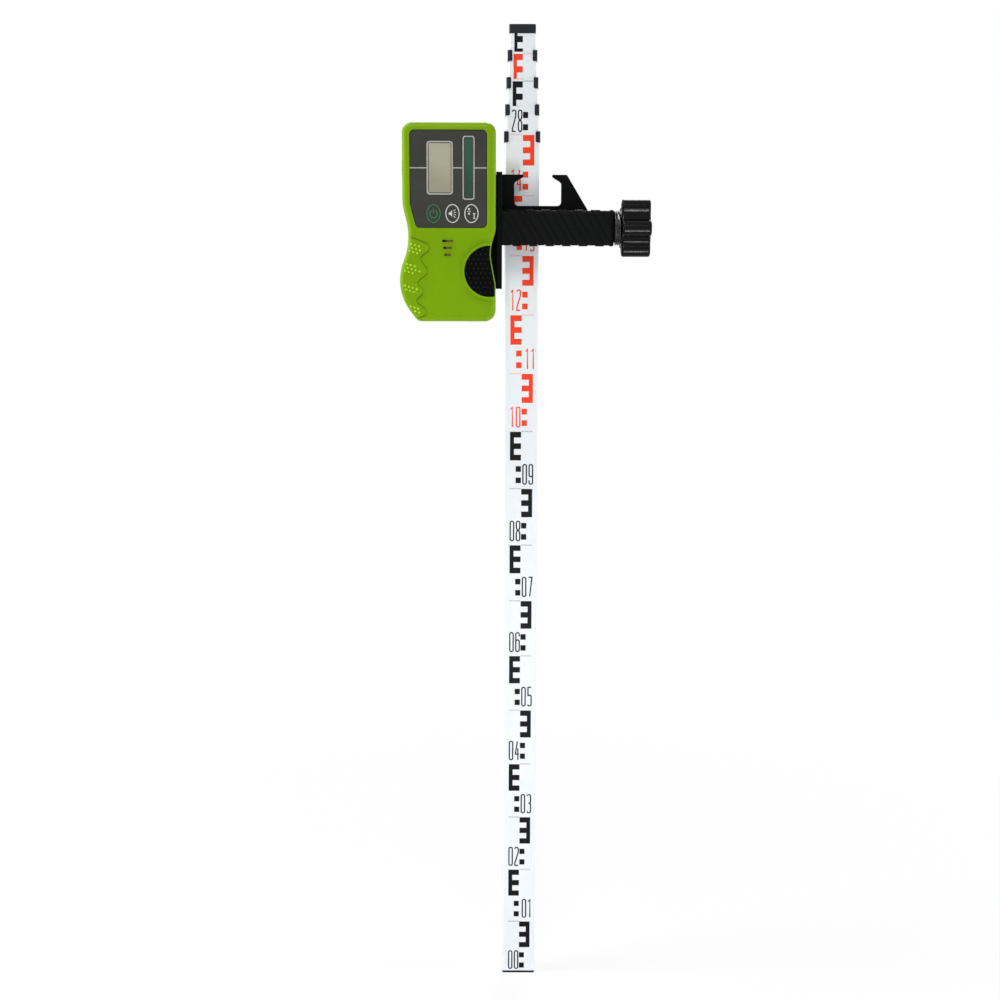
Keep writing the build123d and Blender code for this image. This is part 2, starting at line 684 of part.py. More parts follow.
# Fixed jaw: left hook, rail under the window, arm and lip round the staff's left edge
lip_span = ARM_OUTER - STAFF_EDGE + LIP_REACH
with BuildPart() as fixed_jaw:
    fixed_plate = (
        ((-ARM_OUTER, -JAW_HALF_HEIGHT), PLATE_CORNER),
        ((PLATE_STEP, -JAW_HALF_HEIGHT), PLATE_CORNER),
        ((PLATE_STEP, RAIL_LOW), PLATE_CORNER),
        ((RAIL_RIGHT, RAIL_LOW), PLATE_CORNER),
        ((RAIL_RIGHT, WINDOW_FLOOR), PLATE_CORNER),
        ((WINDOW_LEFT, WINDOW_FLOOR), WINDOW_CORNER),
        ((WINDOW_LEFT, HORN_TOP - HOOK_TIP - HOOK_DROP), HOOK_CORNER),
        ((WINDOW_LEFT + HOOK_REACH, HORN_TOP - HOOK_TIP), TIP_CORNER),
        ((WINDOW_LEFT + HOOK_REACH, HORN_TOP), TIP_CORNER),
        ((-ARM_OUTER, HORN_TOP), PLATE_CORNER),
    )
    with BuildSketch(facing_reader(FIXED_PLATE_BACK)):
        add(outline_sketch(fixed_plate))
    extrude(amount=PLATE_THICK)
    with BuildSketch(facing_reader(ARM_END)):
        with Locations((-ARM_OUTER, 0)):
            Rectangle(ARM_THICK, 2 * JAW_HALF_HEIGHT, align=(Align.MIN, Align.CENTER))
    extrude(amount=ARM_END - FIXED_PLATE_BACK)
    with BuildSketch(facing_reader(ARM_END)):
        with Locations((-STAFF_EDGE + LIP_REACH, 0)):
            Rectangle(lip_span, 2 * JAW_HALF_HEIGHT, align=(Align.MAX, Align.CENTER))
    extrude(amount=ARM_BACK - LIP_GAP)
    fillet(fixed_jaw.edges().filter_by(Axis.Z).group_by(Axis.Y)[-1], ARM_ROUND)
    with BuildSketch(facing_reader(FIXED_PLATE_BACK)):
        with Locations(*jaw_screw_places):
            Circle(SCREW_RADIUS + PRESS_GAP)
    extrude(amount=PLATE_THICK, mode=Mode.SUBTRACT)
    with BuildSketch(facing_reader(FIXED_PLATE_BACK)):
        with Locations(*jaw_screw_places):
            Circle(SCREW_HEAD_RADIUS + PRESS_GAP)
    extrude(amount=SCREW_HEAD + PRESS_GAP, mode=Mode.SUBTRACT)
write(fixed_jaw.part, "fixed_jaw")

# Moving jaw: right hook, arm and lip, with a neck through the slot to the carriage in the beam
with BuildPart() as moving_jaw:
    moving_plate = (
        ((ARM_INNER, -JAW_HALF_HEIGHT), PLATE_CORNER),
        ((HORN_FOOT, -JAW_HALF_HEIGHT), PLATE_CORNER),
        ((HORN_FOOT, HORN_SHOULDER), PLATE_CORNER),
        ((WINDOW_RIGHT + HORN_TOP_WIDTH, HORN_TOP), PLATE_CORNER),
        ((WINDOW_RIGHT - HOOK_REACH, HORN_TOP), TIP_CORNER),
        ((WINDOW_RIGHT - HOOK_REACH, HORN_TOP - HOOK_TIP), TIP_CORNER),
        ((WINDOW_RIGHT, HORN_TOP - HOOK_TIP - HOOK_DROP), HOOK_CORNER),
        ((WINDOW_RIGHT, WINDOW_FLOOR), WINDOW_CORNER),
        ((ARM_INNER, WINDOW_FLOOR), PLATE_CORNER),
    )
    with BuildSketch(facing_reader(MOVING_PLATE_BACK)):
        add(outline_sketch(moving_plate))
    extrude(amount=PLATE_THICK)
    with BuildSketch(facing_reader(ARM_END)):
        with Locations((ARM_INNER, 0)):
            Rectangle(ARM_THICK, 2 * JAW_HALF_HEIGHT, align=(Align.MIN, Align.CENTER))
    extrude(amount=ARM_END - MOVING_PLATE_BACK)
    with BuildSketch(facing_reader(ARM_END)):
        with Locations((STAFF_EDGE - LIP_REACH, 0)):
            Rectangle(lip_span, 2 * JAW_HALF_HEIGHT, align=(Align.MIN, Align.CENTER))
    extrude(amount=ARM_BACK - LIP_GAP)
    fillet(moving_jaw.edges().filter_by(Axis.Z).group_by(Axis.Y)[-1], ARM_ROUND)
    neck_front = BEAM_BACK - BEAM_WALL - 2 * RUN_GAP
    with BuildSketch(facing_reader(MOVING_PLATE_FRONT)):
        with Locations((CARRIAGE_LEFT, 0)):
            Rectangle(CARRIAGE_LENGTH, 2 * NECK_HALF_HEIGHT, align=(Align.MIN, Align.CENTER))
    extrude(amount=MOVING_PLATE_FRONT - neck_front)
    with BuildSketch(across(CARRIAGE_LEFT)):
        RectangleRounded(bore_depth - 2 * RUN_GAP, bore_height - 2 * RUN_GAP, BEAM_BORE_CORNER)
    extrude(amount=CARRIAGE_LENGTH)
    with BuildSketch(across(CARRIAGE_LEFT)):
        Circle(NUT_RADIUS + PRESS_GAP)
    extrude(amount=CARRIAGE_LENGTH, mode=Mode.SUBTRACT)
write(moving_jaw.part, "moving_jaw")


# Rubber pads that grip the staff's edges
def build_jaw_pad(inner_face, label):
    with BuildPart() as jaw_pad:
        with Locations((inner_face, 0, CLAMP_HEIGHT)):
            Box(JAW_PAD, SECTION_1_DEPTH - 2 * PAD_INSET, 2 * (JAW_HALF_HEIGHT - PAD_INSET))
    write(jaw_pad.part, label)


build_jaw_pad(-ARM_INNER + JAW_PAD / 2, "fixed_jaw_pad")
build_jaw_pad(ARM_INNER - JAW_PAD / 2, "moving_jaw_pad")

# Bronze nut in the carriage
with BuildPart() as jaw_nut:
    with BuildSketch(across(CARRIAGE_LEFT)):
        Circle(NUT_RADIUS)
        Circle(LEAD_RADIUS + SHAFT_FIT, mode=Mode.SUBTRACT)
    extrude(amount=CARRIAGE_LENGTH)
write(jaw_nut.part, "jaw_nut")

# Lead screw: journal in the beam's end wall, thread, thrust collar and the shank in the knob
spigot_face = BEAM_RIGHT - END_CAP_SPIGOT
thrust_right = spigot_face - WASHER_THICK - 2 * SEAT_GAP
screw_start = BEAM_LEFT + BEAM_END_WALL + RUN_GAP
screw_end = KNOB_LEFT + KNOB_BORE_DEPTH - PRESS_GAP
with BuildPart() as lead_screw:
    with BuildSketch(across(screw_start - JOURNAL_DEPTH)):
        Circle(JOURNAL_RADIUS)
    extrude(amount=JOURNAL_DEPTH)
    with BuildSketch(across(screw_start)):
        Circle(LEAD_RADIUS)
    extrude(amount=screw_end - screw_start)
    with BuildSketch(across(thrust_right - THRUST_THICK)):
        Circle(THRUST_RADIUS)
    extrude(amount=THRUST_THICK)
write(lead_screw.part, "lead_screw")

# Cap that closes the beam's right end and carries the screw
with BuildPart() as beam_end_cap:
    jacket = 2 * (SLEEVE_WALL + BAND_RISE)
    with BuildSketch(across(BEAM_RIGHT)):
        RectangleRounded(BEAM_DEPTH + jacket, BEAM_HEIGHT + jacket, END_CAP_CORNER)
    extrude(amount=END_CAP_PLATE)
    fillet(beam_end_cap.faces().sort_by(Axis.X)[-1].edges(), END_CAP_EDGE)
    with BuildSketch(across(END_CAP_RIGHT)):
        RectangleRounded(BEAM_DEPTH, 2 * END_CAP_BOSS_RADIUS, END_CAP_CORNER)
    extrude(amount=END_CAP_BOSS)
    fillet(beam_end_cap.faces().sort_by(Axis.X)[-1].edges(), END_CAP_BOSS_ROUND)
    spigot_gap = 2 * PRESS_GAP
    with BuildSketch(across(spigot_face)):
        RectangleRounded(bore_depth - spigot_gap, bore_height - spigot_gap, BEAM_BORE_CORNER)
    extrude(amount=END_CAP_SPIGOT)
    with BuildSketch(across(spigot_face)):
        Circle(LEAD_RADIUS + SHAFT_FIT)
    extrude(amount=END_CAP_SPIGOT + END_CAP_PLATE + END_CAP_BOSS, mode=Mode.SUBTRACT)
write(beam_end_cap.part, "beam_end_cap")

# Thrust washers on both sides of the end cap
boss_face = END_CAP_RIGHT + END_CAP_BOSS
with BuildPart() as thrust_washers:
    for washer_left in (thrust_right + SEAT_GAP, boss_face + SEAT_GAP):
        with BuildSketch(across(washer_left)):
            Circle(WASHER_RADIUS)
            Circle(LEAD_RADIUS + SEAT_GAP, mode=Mode.SUBTRACT)
        extrude(amount=WASHER_THICK)
write(thrust_washers.part, "thrust_washers")

# Coil spring round the end cap's boss, built from pairs of arcs that follow a helix
spring_start = END_CAP_RIGHT + SEAT_GAP + SPRING_WIRE
spring_rise = SPRING_SPACE - 2 * (SEAT_GAP + SPRING_WIRE)
spring_pitch = spring_rise / SPRING_TURNS


def helix_point(turn):
    angle = 2 * pi * turn
    return Vector(
        spring_start + spring_pitch * turn,
        SCREW_Y + SPRING_RADIUS * cos(angle),
        CLAMP_HEIGHT + SPRING_RADIUS * sin(angle),
    )


def helix_direction(turn):
    angle = 2 * pi * turn
    around = 2 * pi * SPRING_RADIUS
    return Vector(spring_pitch, -around * sin(angle), around * cos(angle)).normalized()


with BuildPart() as knob_spring:
    with BuildLine() as spring_path:
        for quarter in range(SPRING_TURNS * SPRING_QUARTERS):
            start = helix_point(quarter / SPRING_QUARTERS)
            end = helix_point((quarter + 1) / SPRING_QUARTERS)
            leave = helix_direction(quarter / SPRING_QUARTERS)
            arrive = helix_direction((quarter + 1) / SPRING_QUARTERS)
            chord = end - start
            along = chord.dot(leave + arrive)
            turned = 2 * (1 - leave.dot(arrive))
            handle = (sqrt(along**2 + turned * chord.dot(chord)) - along) / turned
            middle = (start + end + (leave - arrive) * handle) / 2
            first_arc = TangentArc(start, middle, tangent=leave)
            TangentArc(middle, end, tangent=first_arc % 1)
    with BuildSketch(Plane(origin=helix_point(0), z_dir=helix_direction(0))):
        Circle(SPRING_WIRE)
    sweep()
write(knob_spring.part, "knob_spring")

# Least gap between neighbouring turns, measured on points along the wire
sample_count = SPRING_SAMPLES * SPRING_TURNS
samples = [spring_path.wire().position_at(index / sample_count) for index in range(sample_count + 1)]
far_apart = SPRING_SAMPLES // 2
spring_gap = min(
    (samples[one] - samples[other]).length
    for one in range(sample_count + 1)
    for other in range(one + far_apart, sample_count + 1)
)
print(f"knob spring: least gap between turns {spring_gap - 2 * SPRING_WIRE:.2f} mm")

# Star knob, hollow on its left side, with a hub that runs on the outer thrust washer
hub_left = boss_face + WASHER_THICK + 2 * SEAT_GAP
lobe_places = PolarLocations(KNOB_RADIUS - LOBE_RADIUS, KNOB_LOBES, start_angle=180)
with BuildPart() as star_knob:
    with BuildSketch(across(KNOB_LEFT)) as star:
        Circle(KNOB_CORE_RADIUS)
        with lobe_places:
            Circle(LOBE_RADIUS)
        fillet(star.vertices(), FLUTE_RADIUS)
    extrude(amount=KNOB_LENGTH)
    fillet(star_knob.faces().sort_by(Axis.X)[-1].edges(), KNOB_ROUND)
    fillet(star_knob.faces().sort_by(Axis.X)[0].edges(), KNOB_ROUND)
    with BuildSketch(across(KNOB_LEFT)):
        Circle(KNOB_CORE_RADIUS - KNOB_WALL)
        with lobe_places:
            Circle(LOBE_RADIUS - KNOB_WALL)
    extrude(amount=KNOB_LENGTH - KNOB_ROOF, mode=Mode.SUBTRACT)
    with BuildSketch(across(hub_left)):
        Circle(KNOB_HUB_RADIUS)
    extrude(amount=KNOB_LEFT - hub_left + KNOB_LENGTH - KNOB_ROOF)
    with BuildSketch(across(hub_left)):
        Circle(LEAD_RADIUS + PRESS_GAP)
    extrude(amount=KNOB_LEFT - hub_left + KNOB_BORE_DEPTH, mode=Mode.SUBTRACT)
write(star_knob.part, "star_knob")

# L-bracket: a flange on the beam's end and a leg behind the receiver
captive_height = CAPTIVE_Z - CLAMP_HEIGHT
pin_heights = (captive_height - PIN_SPACING / 2, captive_height + PIN_SPACING / 2)
pin_places = [(RECEIVER_X, height) for height in pin_heights]
with BuildPart() as mount_bracket:
    with BuildSketch(facing_reader(BEAM_BACK)):
        with Locations((BRACKET_LEFT, (BRACKET_TOP + BRACKET_BOTTOM) / 2)):
            Rectangle(BRACKET_THICK, BRACKET_TOP - BRACKET_BOTTOM, align=(Align.MIN, Align.CENTER))
    extrude(amount=BEAM_BACK - BRACKET_FRONT)
    fillet(mount_bracket.faces().sort_by(Axis.Y)[0].edges(), BRACKET_ROUND)
    leg_left = RECEIVER_X - LEG_REACH
    with BuildSketch(facing_reader(BEAM_BACK)):
        with Locations(((leg_left + BEAM_LEFT) / 2, captive_height)):
            RectangleRounded(BEAM_LEFT - leg_left, LEG_TOP - LEG_BOTTOM, LEG_CORNER)
        with Locations((BRACKET_LEFT, captive_height)):
            Rectangle(BRACKET_THICK, LEG_TOP - LEG_BOTTOM, align=(Align.MIN, Align.CENTER))
        with Locations((BRACKET_LEFT, BRACKET_BOTTOM)):
            Rectangle(LEG_RIB, captive_height - BRACKET_BOTTOM, align=(Align.MAX, Align.MIN))
    extrude(amount=LEG_THICK)
    with BuildSketch(facing_reader(BEAM_BACK)):
        with Locations((RECEIVER_X, captive_height)):
            Circle(CAPTIVE_RADIUS + SHAFT_FIT)
        with Locations(*pin_places):
            Circle(PIN_RADIUS + PRESS_GAP)
    extrude(amount=LEG_THICK, mode=Mode.SUBTRACT)
    with BuildSketch(facing_reader(LEG_FRONT + RING_POCKET)):
        with Locations((RECEIVER_X, captive_height)):
            Circle(RING_RADIUS + RUN_GAP)
    extrude(amount=RING_POCKET, mode=Mode.SUBTRACT)
    with BuildSketch(across(BRACKET_LEFT)):
        with Locations(*flange_screw_places):
            Circle(SCREW_RADIUS + PRESS_GAP)
    extrude(amount=BRACKET_THICK, mode=Mode.SUBTRACT)
    with BuildSketch(across(BRACKET_LEFT)):
        with Locations(*flange_screw_places):
            Circle(SCREW_HEAD_RADIUS + PRESS_GAP)
    extrude(amount=SCREW_HEAD + PRESS_GAP, mode=Mode.SUBTRACT)
write(mount_bracket.part, "mount_bracket")

# Screws of the flange, along X, and of the fixed jaw, along Y
with BuildPart() as clamp_screws:
    with BuildSketch(across(BRACKET_LEFT)):
        with Locations(*flange_screw_places):
            Circle(SCREW_HEAD_RADIUS)
    extrude(amount=SCREW_HEAD)
    with BuildSketch(across(BRACKET_LEFT + SCREW_HEAD)):
        with Locations(*flange_screw_places):
            Circle(SCREW_RADIUS)
    extrude(amount=BRACKET_THICK - SCREW_HEAD + BEAM_END_WALL)
    with BuildSketch(facing_reader(FIXED_PLATE_BACK)):
        with Locations(*jaw_screw_places):
            Circle(SCREW_HEAD_RADIUS)
    extrude(amount=SCREW_HEAD)
    with BuildSketch(facing_reader(FIXED_PLATE_BACK - SCREW_HEAD)):
        with Locations(*jaw_screw_places):
            Circle(SCREW_RADIUS)
    extrude(amount=PLATE_THICK - SCREW_HEAD + BEAM_WALL)
write(clamp_screws.part, "clamp_screws")

# Captive thumb screw behind the leg, with the ring that keeps it there
captive_head_front = BEAM_BACK + SEAT_GAP
with BuildPart() as captive_screw:
    with BuildSketch(facing_back(RECEIVER_X, captive_head_front, CAPTIVE_Z)):
        Circle(CAPTIVE_HEAD_RADIUS)
        with PolarLocations(CAPTIVE_HEAD_RADIUS, CAPTIVE_FLUTES):
            Circle(CAPTIVE_FLUTE_RADIUS, mode=Mode.SUBTRACT)
    extrude(amount=CAPTIVE_HEAD)
    shank_end = RECEIVER_BACK - CAPTIVE_GRIP
    with BuildSketch(facing_back(RECEIVER_X, shank_end, CAPTIVE_Z)):
        Circle(CAPTIVE_RADIUS)
    extrude(amount=captive_head_front - shank_end)
write(captive_screw.part, "captive_screw")

with BuildPart() as retaining_ring:
    with BuildSketch(facing_back(RECEIVER_X, LEG_FRONT + SEAT_GAP / 2, CAPTIVE_Z)):
        Circle(RING_RADIUS)
        Circle(CAPTIVE_RADIUS + PRESS_GAP, mode=Mode.SUBTRACT)
    extrude(amount=RING_THICK)
write(retaining_ring.part, "retaining_ring")

# Pins that stop the receiver turning on the leg
with BuildPart() as locating_pins:
    with BuildSketch(facing_reader(BEAM_BACK)):
        with Locations(*pin_places):
            Circle(PIN_RADIUS)
    extrude(amount=LEG_THICK + RECEIVER_GAP + PIN_GRIP)
write(locating_pins.part, "locating_pins")

# Raised finger grip and thumb rim, as far as they stand above the front of the case
with BuildPart() as raised_grips:
    with BuildSketch(case_plane(RECEIVER_FRONT + 2 * FRONT_ROUND)):
        add(case_sketch(CASE_OUTLINE))
    extrude(amount=2 * FRONT_ROUND + GRIP_RISE)
    fillet(raised_grips.faces().sort_by(Axis.Y)[0].edges(), FRONT_ROUND)
    with BuildSketch(case_plane(RECEIVER_FRONT + 2 * FRONT_ROUND)):
        with BuildLine():
            finger_edge = FilletPolyline(*map(on_case, FINGER_EDGE), radius=FINGER_ROUND)
            Line(finger_edge @ 1, finger_edge @ 0)
        make_face()
        with Locations((THUMB_X, THUMB_HEIGHT)):
            Circle(THUMB_RADIUS + THUMB_RIM + THUMB_RIDGE_GAP + THUMB_RIDGE)
            Circle(THUMB_RADIUS + THUMB_RIM + THUMB_RIDGE_GAP, mode=Mode.SUBTRACT)
            Circle(THUMB_RADIUS + THUMB_RIM)
            Circle(THUMB_RADIUS, mode=Mode.SUBTRACT)
    extrude(amount=2 * FRONT_ROUND + 2 * GRIP_RISE, mode=Mode.INTERSECT)


def thumb_shape():
    """The round pad as far as the case's right edge leaves room for it."""
    with BuildSketch() as shape:
        add(case_sketch(CASE_OUTLINE, THUMB_EDGE))
        with Locations((THUMB_X, THUMB_HEIGHT)):
            Circle(THUMB_RADIUS, mode=Mode.INTERSECT)
    return shape.sketch


# The case's front sunk by the thumb pad's thickness
with BuildPart() as thumb_bed:
    with BuildSketch(case_plane(FRONT_SPLIT)):
        add(case_sketch(CASE_OUTLINE))
    extrude(amount=FRONT_SHARE - THUMB_THICK)
    fillet(thumb_bed.faces().sort_by(Axis.Y)[0].edges(), FRONT_ROUND)

# Pocket for the pad, open to the front
with BuildPart() as thumb_pocket:
    with BuildSketch(case_plane(RECEIVER_FRONT + 2 * FRONT_ROUND)):
        add(thumb_shape())
    extrude(amount=2 * FRONT_ROUND + 2 * GRIP_RISE)
    add(thumb_bed.part, mode=Mode.SUBTRACT)

# Rubber thumb pad that follows the rounded front edge
with BuildPart() as thumb_pad:
    with BuildSketch(case_plane(FRONT_SPLIT)):
        add(case_sketch(CASE_OUTLINE))
    extrude(amount=FRONT_SHARE)
    fillet(thumb_pad.faces().sort_by(Axis.Y)[0].edges(), FRONT_ROUND)
    add(thumb_pocket.part, mode=Mode.INTERSECT)
write(thumb_pad.part, "thumb_pad")

button_places = [(BUTTON_X + index * BUTTON_PITCH, BUTTON_HEIGHT) for index in range(len(BUTTON_LABELS))]
post_x = BOARD_HALF_WIDTH - BOARD_POST_INSET
post_places = [
    (side * post_x, height)
    for side in (-1, 1)
    for height in (BOARD_TOP - BOARD_POST_INSET, BOARD_BOTTOM + BOARD_POST_INSET)
]

# Front case
screw_places = [on_case(place) for place in CASE_SCREWS]
seat = 2 * PRESS_GAP  # spare width of the openings for the display and the sensor
with BuildPart() as front_case:
    with BuildSketch(case_plane(FRONT_SPLIT)):
        add(case_sketch(CASE_OUTLINE))
    extrude(amount=FRONT_SHARE)
    fillet(front_case.faces().sort_by(Axis.Y)[0].edges(), FRONT_ROUND)
    with BuildSketch(case_plane(PANEL_BACK)):
        add(case_sketch(PANEL_OUTLINE))
    extrude(amount=PANEL_POCKET, mode=Mode.SUBTRACT)
    pocket_rim = front_case.faces().sort_by(Axis.Y)[0].inner_wires()[0]
    chamfer(pocket_rim.edges(), PANEL_LIP)
    with BuildSketch(case_plane(RECEIVER_FRONT + GROOVE_DEPTH)):
        with BuildLine():
            FilletPolyline(*map(on_case, FINGER_EDGE), radius=FINGER_ROUND)
        trace(line_width=2 * GROOVE_WIDTH)
    extrude(amount=2 * GROOVE_DEPTH, mode=Mode.SUBTRACT)
    add(raised_grips.part)
    with BuildSketch(case_plane(FRONT_SPLIT)):
        add(case_sketch(CASE_OUTLINE, CASE_WALL))
    extrude(amount=FRONT_SHARE - FRONT_WALL, mode=Mode.SUBTRACT)
    with BuildSketch(case_plane(WALL_INSIDE)):
        with Locations(*post_places):
            Circle(BOARD_POST_RADIUS)
    extrude(amount=WALL_INSIDE - BOARD_FRONT)
    with BuildSketch(case_plane(BOARD_FRONT)):
        with Locations(*post_places):
            Circle(SMALL_SCREW_RADIUS + PRESS_GAP)
    extrude(amount=BOARD_FRONT - WALL_INSIDE, mode=Mode.SUBTRACT)
    with BuildSketch(case_plane(FRONT_SPLIT)):
        with Locations(*screw_places):
            Circle(BOSS_RADIUS)
    extrude(amount=FRONT_SPLIT - WALL_INSIDE)
    with BuildSketch(case_plane(FRONT_SPLIT)):
        with Locations(*screw_places):
            Circle(SMALL_SCREW_RADIUS + PRESS_GAP)
    extrude(amount=CASE_SCREW_BITE, mode=Mode.SUBTRACT)
    with BuildSketch(case_plane(WALL_INSIDE)):
        for row, length in enumerate(SLOT_LENGTHS):
            with Locations((SLOT_X, SLOT_HEIGHT - row * SLOT_PITCH)):
                SlotOverall(length + 2 * SLOT_RIM, SLOT_WIDTH + 2 * SLOT_RIM)
    extrude(amount=FRONT_WALL + SLOT_RIM_RISE)
    with BuildSketch(case_plane(WALL_INSIDE)):
        with Locations((LCD_X, GRADE_LINE)):
            RectangleRounded(LCD_WIDTH + seat, LCD_HEIGHT + seat, WINDOW_CORNER_RADIUS)
        with Locations((SENSOR_X, GRADE_LINE)):
            RectangleRounded(SENSOR_WIDTH + seat, SENSOR_HEIGHT + seat, WINDOW_CORNER_RADIUS)
        with Locations(*button_places):
            Ellipse(BUTTON_HALF_WIDTH + RUN_GAP, BUTTON_HALF_HEIGHT + RUN_GAP)
        for row, length in enumerate(SLOT_LENGTHS):
            with Locations((SLOT_X, SLOT_HEIGHT - row * SLOT_PITCH)):
                SlotOverall(length, SLOT_WIDTH)
    extrude(amount=FRONT_WALL + SLOT_RIM_RISE, mode=Mode.SUBTRACT)
    add(thumb_pocket.part, mode=Mode.SUBTRACT)
    for pad, rows in DOT_PADS:
        pad_x, pad_height = on_case(pad)
        for row, (shift, count) in enumerate(rows):
            for column in range(shift, shift + count):
                dot_x = RECEIVER_X + pad_x + row * DOT_ROW[0] + column * DOT_STEP[0]
                dot_z = RECEIVER_Z + pad_height + row * DOT_ROW[1] + column * DOT_STEP[1]
                with Locations((dot_x, RECEIVER_FRONT - GRIP_RISE - DOT_RISE + DOT_RADIUS, dot_z)):
                    Sphere(DOT_RADIUS)
    with Locations((RECEIVER_X - HALF_WIDTH, FRONT_SPLIT - MARK_DEPTH / 2, RECEIVER_Z + GRADE_LINE)):
        Box(2 * MARK_RISE, MARK_DEPTH, MARK_HEIGHT)
write(front_case.part, "front_case")

# Rear case with the battery bay and the hinge block of its hatch
ear_span = BARREL_LENGTH + 2 * RUN_GAP
hinge_ears = [-(ear_span + EAR_THICK) / 2, (ear_span + EAR_THICK) / 2]
hatch_span = BAY_SPAN + 2 * HATCH_LAP
hatch_top = BAY_HEIGHT + BAY_RISE / 2 + HATCH_LAP
hatch_bottom = HINGE_HEIGHT + BARREL_RADIUS + HATCH_LAP
block_bottom = HINGE_HEIGHT - BARREL_RADIUS - BAY_WALL
bay_depth = RECEIVER_BACK - CASE_WALL - BAY_FLOOR
with BuildPart() as rear_case:
    with BuildSketch(case_plane(RECEIVER_BACK)):
        add(case_sketch(CASE_OUTLINE))
    extrude(amount=RECEIVER_BACK - REAR_SPLIT)
    fillet(rear_case.faces().sort_by(Axis.Y)[-1].edges(), REAR_ROUND)
    with BuildSketch(case_plane(RECEIVER_BACK - CASE_WALL)):
        add(case_sketch(CASE_OUTLINE, CASE_WALL))
    extrude(amount=RECEIVER_BACK - CASE_WALL - REAR_SPLIT, mode=Mode.SUBTRACT)
    with BuildSketch(case_plane(RECEIVER_BACK - CASE_WALL)):
        with Locations((0, BAY_HEIGHT)):
            Rectangle(BAY_SPAN + 2 * BAY_WALL, BAY_RISE + 2 * BAY_WALL)
    extrude(amount=bay_depth + BAY_WALL)
    with BuildSketch(case_plane(RECEIVER_BACK - CASE_WALL)):
        with Locations((0, block_bottom)):
            Rectangle(BAY_SPAN + 2 * BAY_WALL, BAY_HEIGHT - block_bottom, align=(Align.CENTER, Align.MIN))
    extrude(amount=HINGE_BLOCK_DEPTH)
    with BuildSketch(case_plane(RECEIVER_BACK)):
        with Locations((0, BAY_HEIGHT)):
            Rectangle(BAY_SPAN, BAY_RISE)
    extrude(amount=CASE_WALL + bay_depth, mode=Mode.SUBTRACT)
    with BuildSketch(case_plane(RECEIVER_BACK)):
        with Locations((0, (hatch_top + hatch_bottom) / 2)):
            Rectangle(hatch_span + 2 * RUN_GAP, hatch_top - hatch_bottom + 2 * RUN_GAP)
        with Locations((0, HINGE_HEIGHT - BARREL_RADIUS - RUN_GAP)):
            barrel_rise = hatch_bottom - HINGE_HEIGHT + 2 * BARREL_RADIUS
            Rectangle(ear_span, barrel_rise, align=(Align.CENTER, Align.MIN))
    extrude(amount=CASE_WALL + RUN_GAP, mode=Mode.SUBTRACT)
    ear_root = (Align.CENTER, Align.MAX, Align.CENTER)
    for ear in hinge_ears:
        with Locations((RECEIVER_X + ear, HINGE_Y, RECEIVER_Z + HINGE_HEIGHT)):
            Cylinder(BARREL_RADIUS, EAR_THICK, rotation=(0, 90, 0))
            Box(EAR_THICK, HINGE_OUT + CASE_WALL, 2 * BARREL_RADIUS, align=ear_root)
    with Locations((RECEIVER_X, HINGE_Y, RECEIVER_Z + HINGE_HEIGHT)):
        Cylinder(
            HINGE_PIN_RADIUS + PRESS_GAP, ear_span + 2 * EAR_THICK, rotation=(0, 90, 0), mode=Mode.SUBTRACT
        )
    with BuildSketch(case_plane(RECEIVER_BACK - CASE_WALL)):
        with Locations(*screw_places):
            Circle(BOSS_RADIUS)
        with Locations((0, captive_height - RECEIVER_RISE)):
            Circle(INSERT_BOSS_RADIUS)
    extrude(amount=INSERT_LENGTH)
    with BuildSketch(case_plane(RECEIVER_BACK - CASE_WALL)):
        with Locations(*screw_places):
            Circle(BOSS_RADIUS)
    extrude(amount=RECEIVER_BACK - CASE_WALL - REAR_SPLIT)
    with BuildSketch(case_plane(RECEIVER_BACK)):
        with Locations(*screw_places):
            Circle(SMALL_SCREW_RADIUS + PRESS_GAP)
    extrude(amount=RECEIVER_BACK - REAR_SPLIT, mode=Mode.SUBTRACT)
    with BuildSketch(case_plane(RECEIVER_BACK)):
        with Locations(*screw_places):
            Circle(SMALL_HEAD_RADIUS + PRESS_GAP)
    extrude(amount=SMALL_HEAD + PRESS_GAP, mode=Mode.SUBTRACT)
    with BuildSketch(case_plane(RECEIVER_BACK)):
        with Locations((0, captive_height - RECEIVER_RISE)):
            Circle(INSERT_RADIUS + PRESS_GAP)
    extrude(amount=INSERT_LENGTH, mode=Mode.SUBTRACT)
    with BuildSketch(case_plane(RECEIVER_BACK)):
        with Locations(*[(0, height - RECEIVER_RISE) for height in pin_heights]):
            Circle(PIN_RADIUS + PRESS_GAP)
    extrude(amount=PIN_GRIP + PRESS_GAP, mode=Mode.SUBTRACT)
write(rear_case.part, "rear_case")

# Gasket between the two halves
with BuildPart() as case_seal:
    with BuildSketch(case_plane(REAR_SPLIT)):
        add(case_sketch(CASE_OUTLINE, SEAL_INSET))
        add(case_sketch(CASE_OUTLINE, SEAL_INSET + SEAL_WIDTH), mode=Mode.SUBTRACT)
    extrude(amount=SEAL_THICK)
write(case_seal.part, "case_seal")

